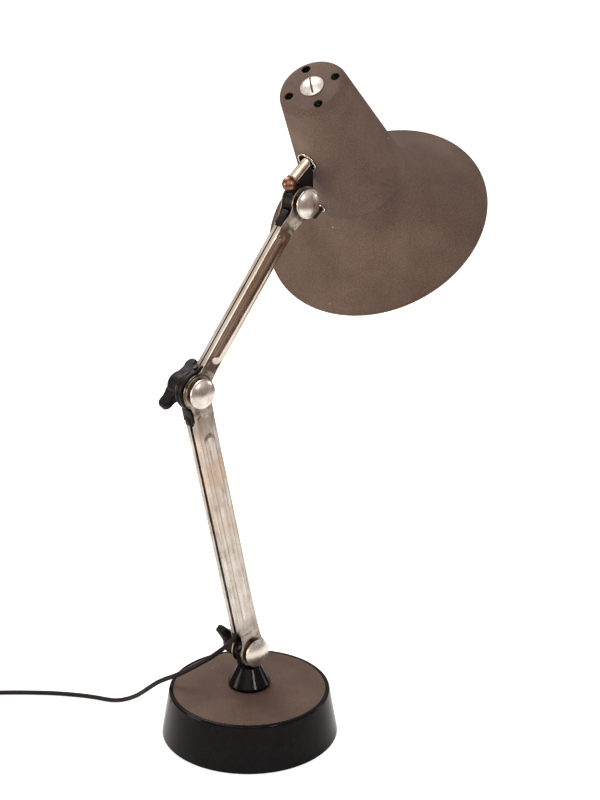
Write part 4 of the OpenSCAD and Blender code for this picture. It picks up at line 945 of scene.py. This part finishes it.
holder = lathe([(13.8, -57.05), (18.2, -57.05), (19, -56.2), (19, -50.5), (18.3, -50), (18.3, -49), (19, -48.5),
                (19, -36), (17.4, -33), (17.4, -22), (15.5, -19.05), (3, -19.05), (3, -13), (0, -13),
                (0, -30), (13.8, -30)], 80)
settle(rounded(holder, 0.35, 2), "lampholder", "shade", "glossPhenolic", atShade, ["lampholder"])
bulbShape = [(0, -55.35), (12, -55.35), (12.2, -58.5), (13.2, -62.5), (15.2, -67.8)] + arc((0, -97.35), 30, 54, -90, 26)
bulb = lathe(bulbShape, 96)
settle(bulb, "bulbGlass", "shade", "frostedGlass", atShade, ["bulb_glass"], sharp=60)
print("shade made")

# Floor and light
floor = bmesh.new()
bmesh.ops.create_grid(floor, x_segments=2, y_segments=2, size=8)
floorMesh = bpy.data.meshes.new("studioFloor")
floor.to_mesh(floorMesh)
floor.free()
floorPiece = bpy.data.objects.new("studioFloor", floorMesh)
floorPiece.location = (0, 0, -0.0003)
floorMesh.materials.append(looks["studioPaper"])
bpy.context.scene.collection.objects.link(floorPiece)
floorPiece.visible_glossy = False

# A lit disc of table round the lamp is all that its metal mirrors; past it the room is dark
discShape = bmesh.new()
bmesh.ops.create_circle(discShape, cap_ends=True, segments=96, radius=0.93)
discMesh = bpy.data.meshes.new("tableMirrored")
discShape.to_mesh(discMesh)
discShape.free()
disc = bpy.data.objects.new("tableMirrored", discMesh)
disc.location = (0, 0, -0.0002)
mirroredPaper = looks["studioPaper"].copy()
mirroredPaper.node_tree.nodes["Principled BSDF"].inputs["Emission Strength"].default_value = 0.3
discMesh.materials.append(mirroredPaper)
bpy.context.scene.collection.objects.link(disc)
disc.visible_camera = disc.visible_diffuse = disc.visible_shadow = disc.visible_transmission = False

# Sky: white to the eye, soft white light on surfaces, and in mirrors a dark room under a bright ceiling
sky = {"light": 0.36, "tint": "#fff8f0",
       "room": [(0.0, "#c0b2a4"), (0.2, "#b3a194"), (0.27, "#937c71"), (0.315, "#463839"), (0.36, "#7a655b"),
                (0.43, "#a38e80"), (0.5, "#8c7d73"), (0.56, "#96897f"), (0.64, "#b5ada6"), (0.78, "#ece8e4"),
                (1.0, "#ffffff")]}
world = bpy.data.worlds.new("studioSky")
world.use_nodes = True
skyTree = world.node_tree
seen = skyTree.nodes["Background"]
lit = addNode(skyTree, "Background", {"Color": linear(sky["tint"]), "Strength": sky["light"]})
height = addNode(skyTree, "SeparateXYZ", links={"Vector": addNode(skyTree, "TexCoord").outputs["Generated"]})
level = addNode(skyTree, "MapRange", {"From Min": -1.0}, {"Value": height.outputs["Z"]})
room = addNode(skyTree, "Background", links={"Color": ramp(skyTree, level.outputs[0], sky["room"]).outputs[0]})
seen.inputs["Color"].default_value = (1, 1, 1, 1)
rays = addNode(skyTree, "LightPath")
mirror = addNode(skyTree, "MixShader", links={0: rays.outputs["Is Glossy Ray"], 1: lit.outputs[0], 2: room.outputs[0]})
whole = addNode(skyTree, "MixShader", links={0: rays.outputs["Is Camera Ray"], 1: mirror.outputs[0],
                                             2: seen.outputs[0]})
skyTree.links.new(whole.outputs[0], skyTree.nodes["World Output"].inputs["Surface"])
bpy.context.scene.world = world
bpy.context.scene.view_settings.view_transform = "Standard"

lamps = [("keyLight", (-1.7, -1.3, 2.3), 2.2, 16, "#fff4e8"), ("frontLight", (-0.17, -2.0, 1.5), 0.34, 13, "#fff6ee"),
         ("sideLight", (2.2, -0.75, 0.75), 0.5, 5, "#fff8f2"), ("backLight", (0.2, 1.6, 2.6), 1.6, 38, "#fbf8f4"),
         ("leftLight", (-1.9, 1.1, 0.6), 0.9, 22, "#fff2e6")]
for name, place, size, power, tint in lamps:
    data = bpy.data.lights.new(name, "AREA")
    data.size, data.energy, data.color = size, power, linear(tint)[:3]
    lamp = bpy.data.objects.new(name, data)
    lamp.location = place
    lamp.rotation_euler = (Vector((0, 0, 0.3)) - Vector(place)).to_track_quat("-Z", "Y").to_euler()
    bpy.context.scene.collection.objects.link(lamp)

print("stage set")
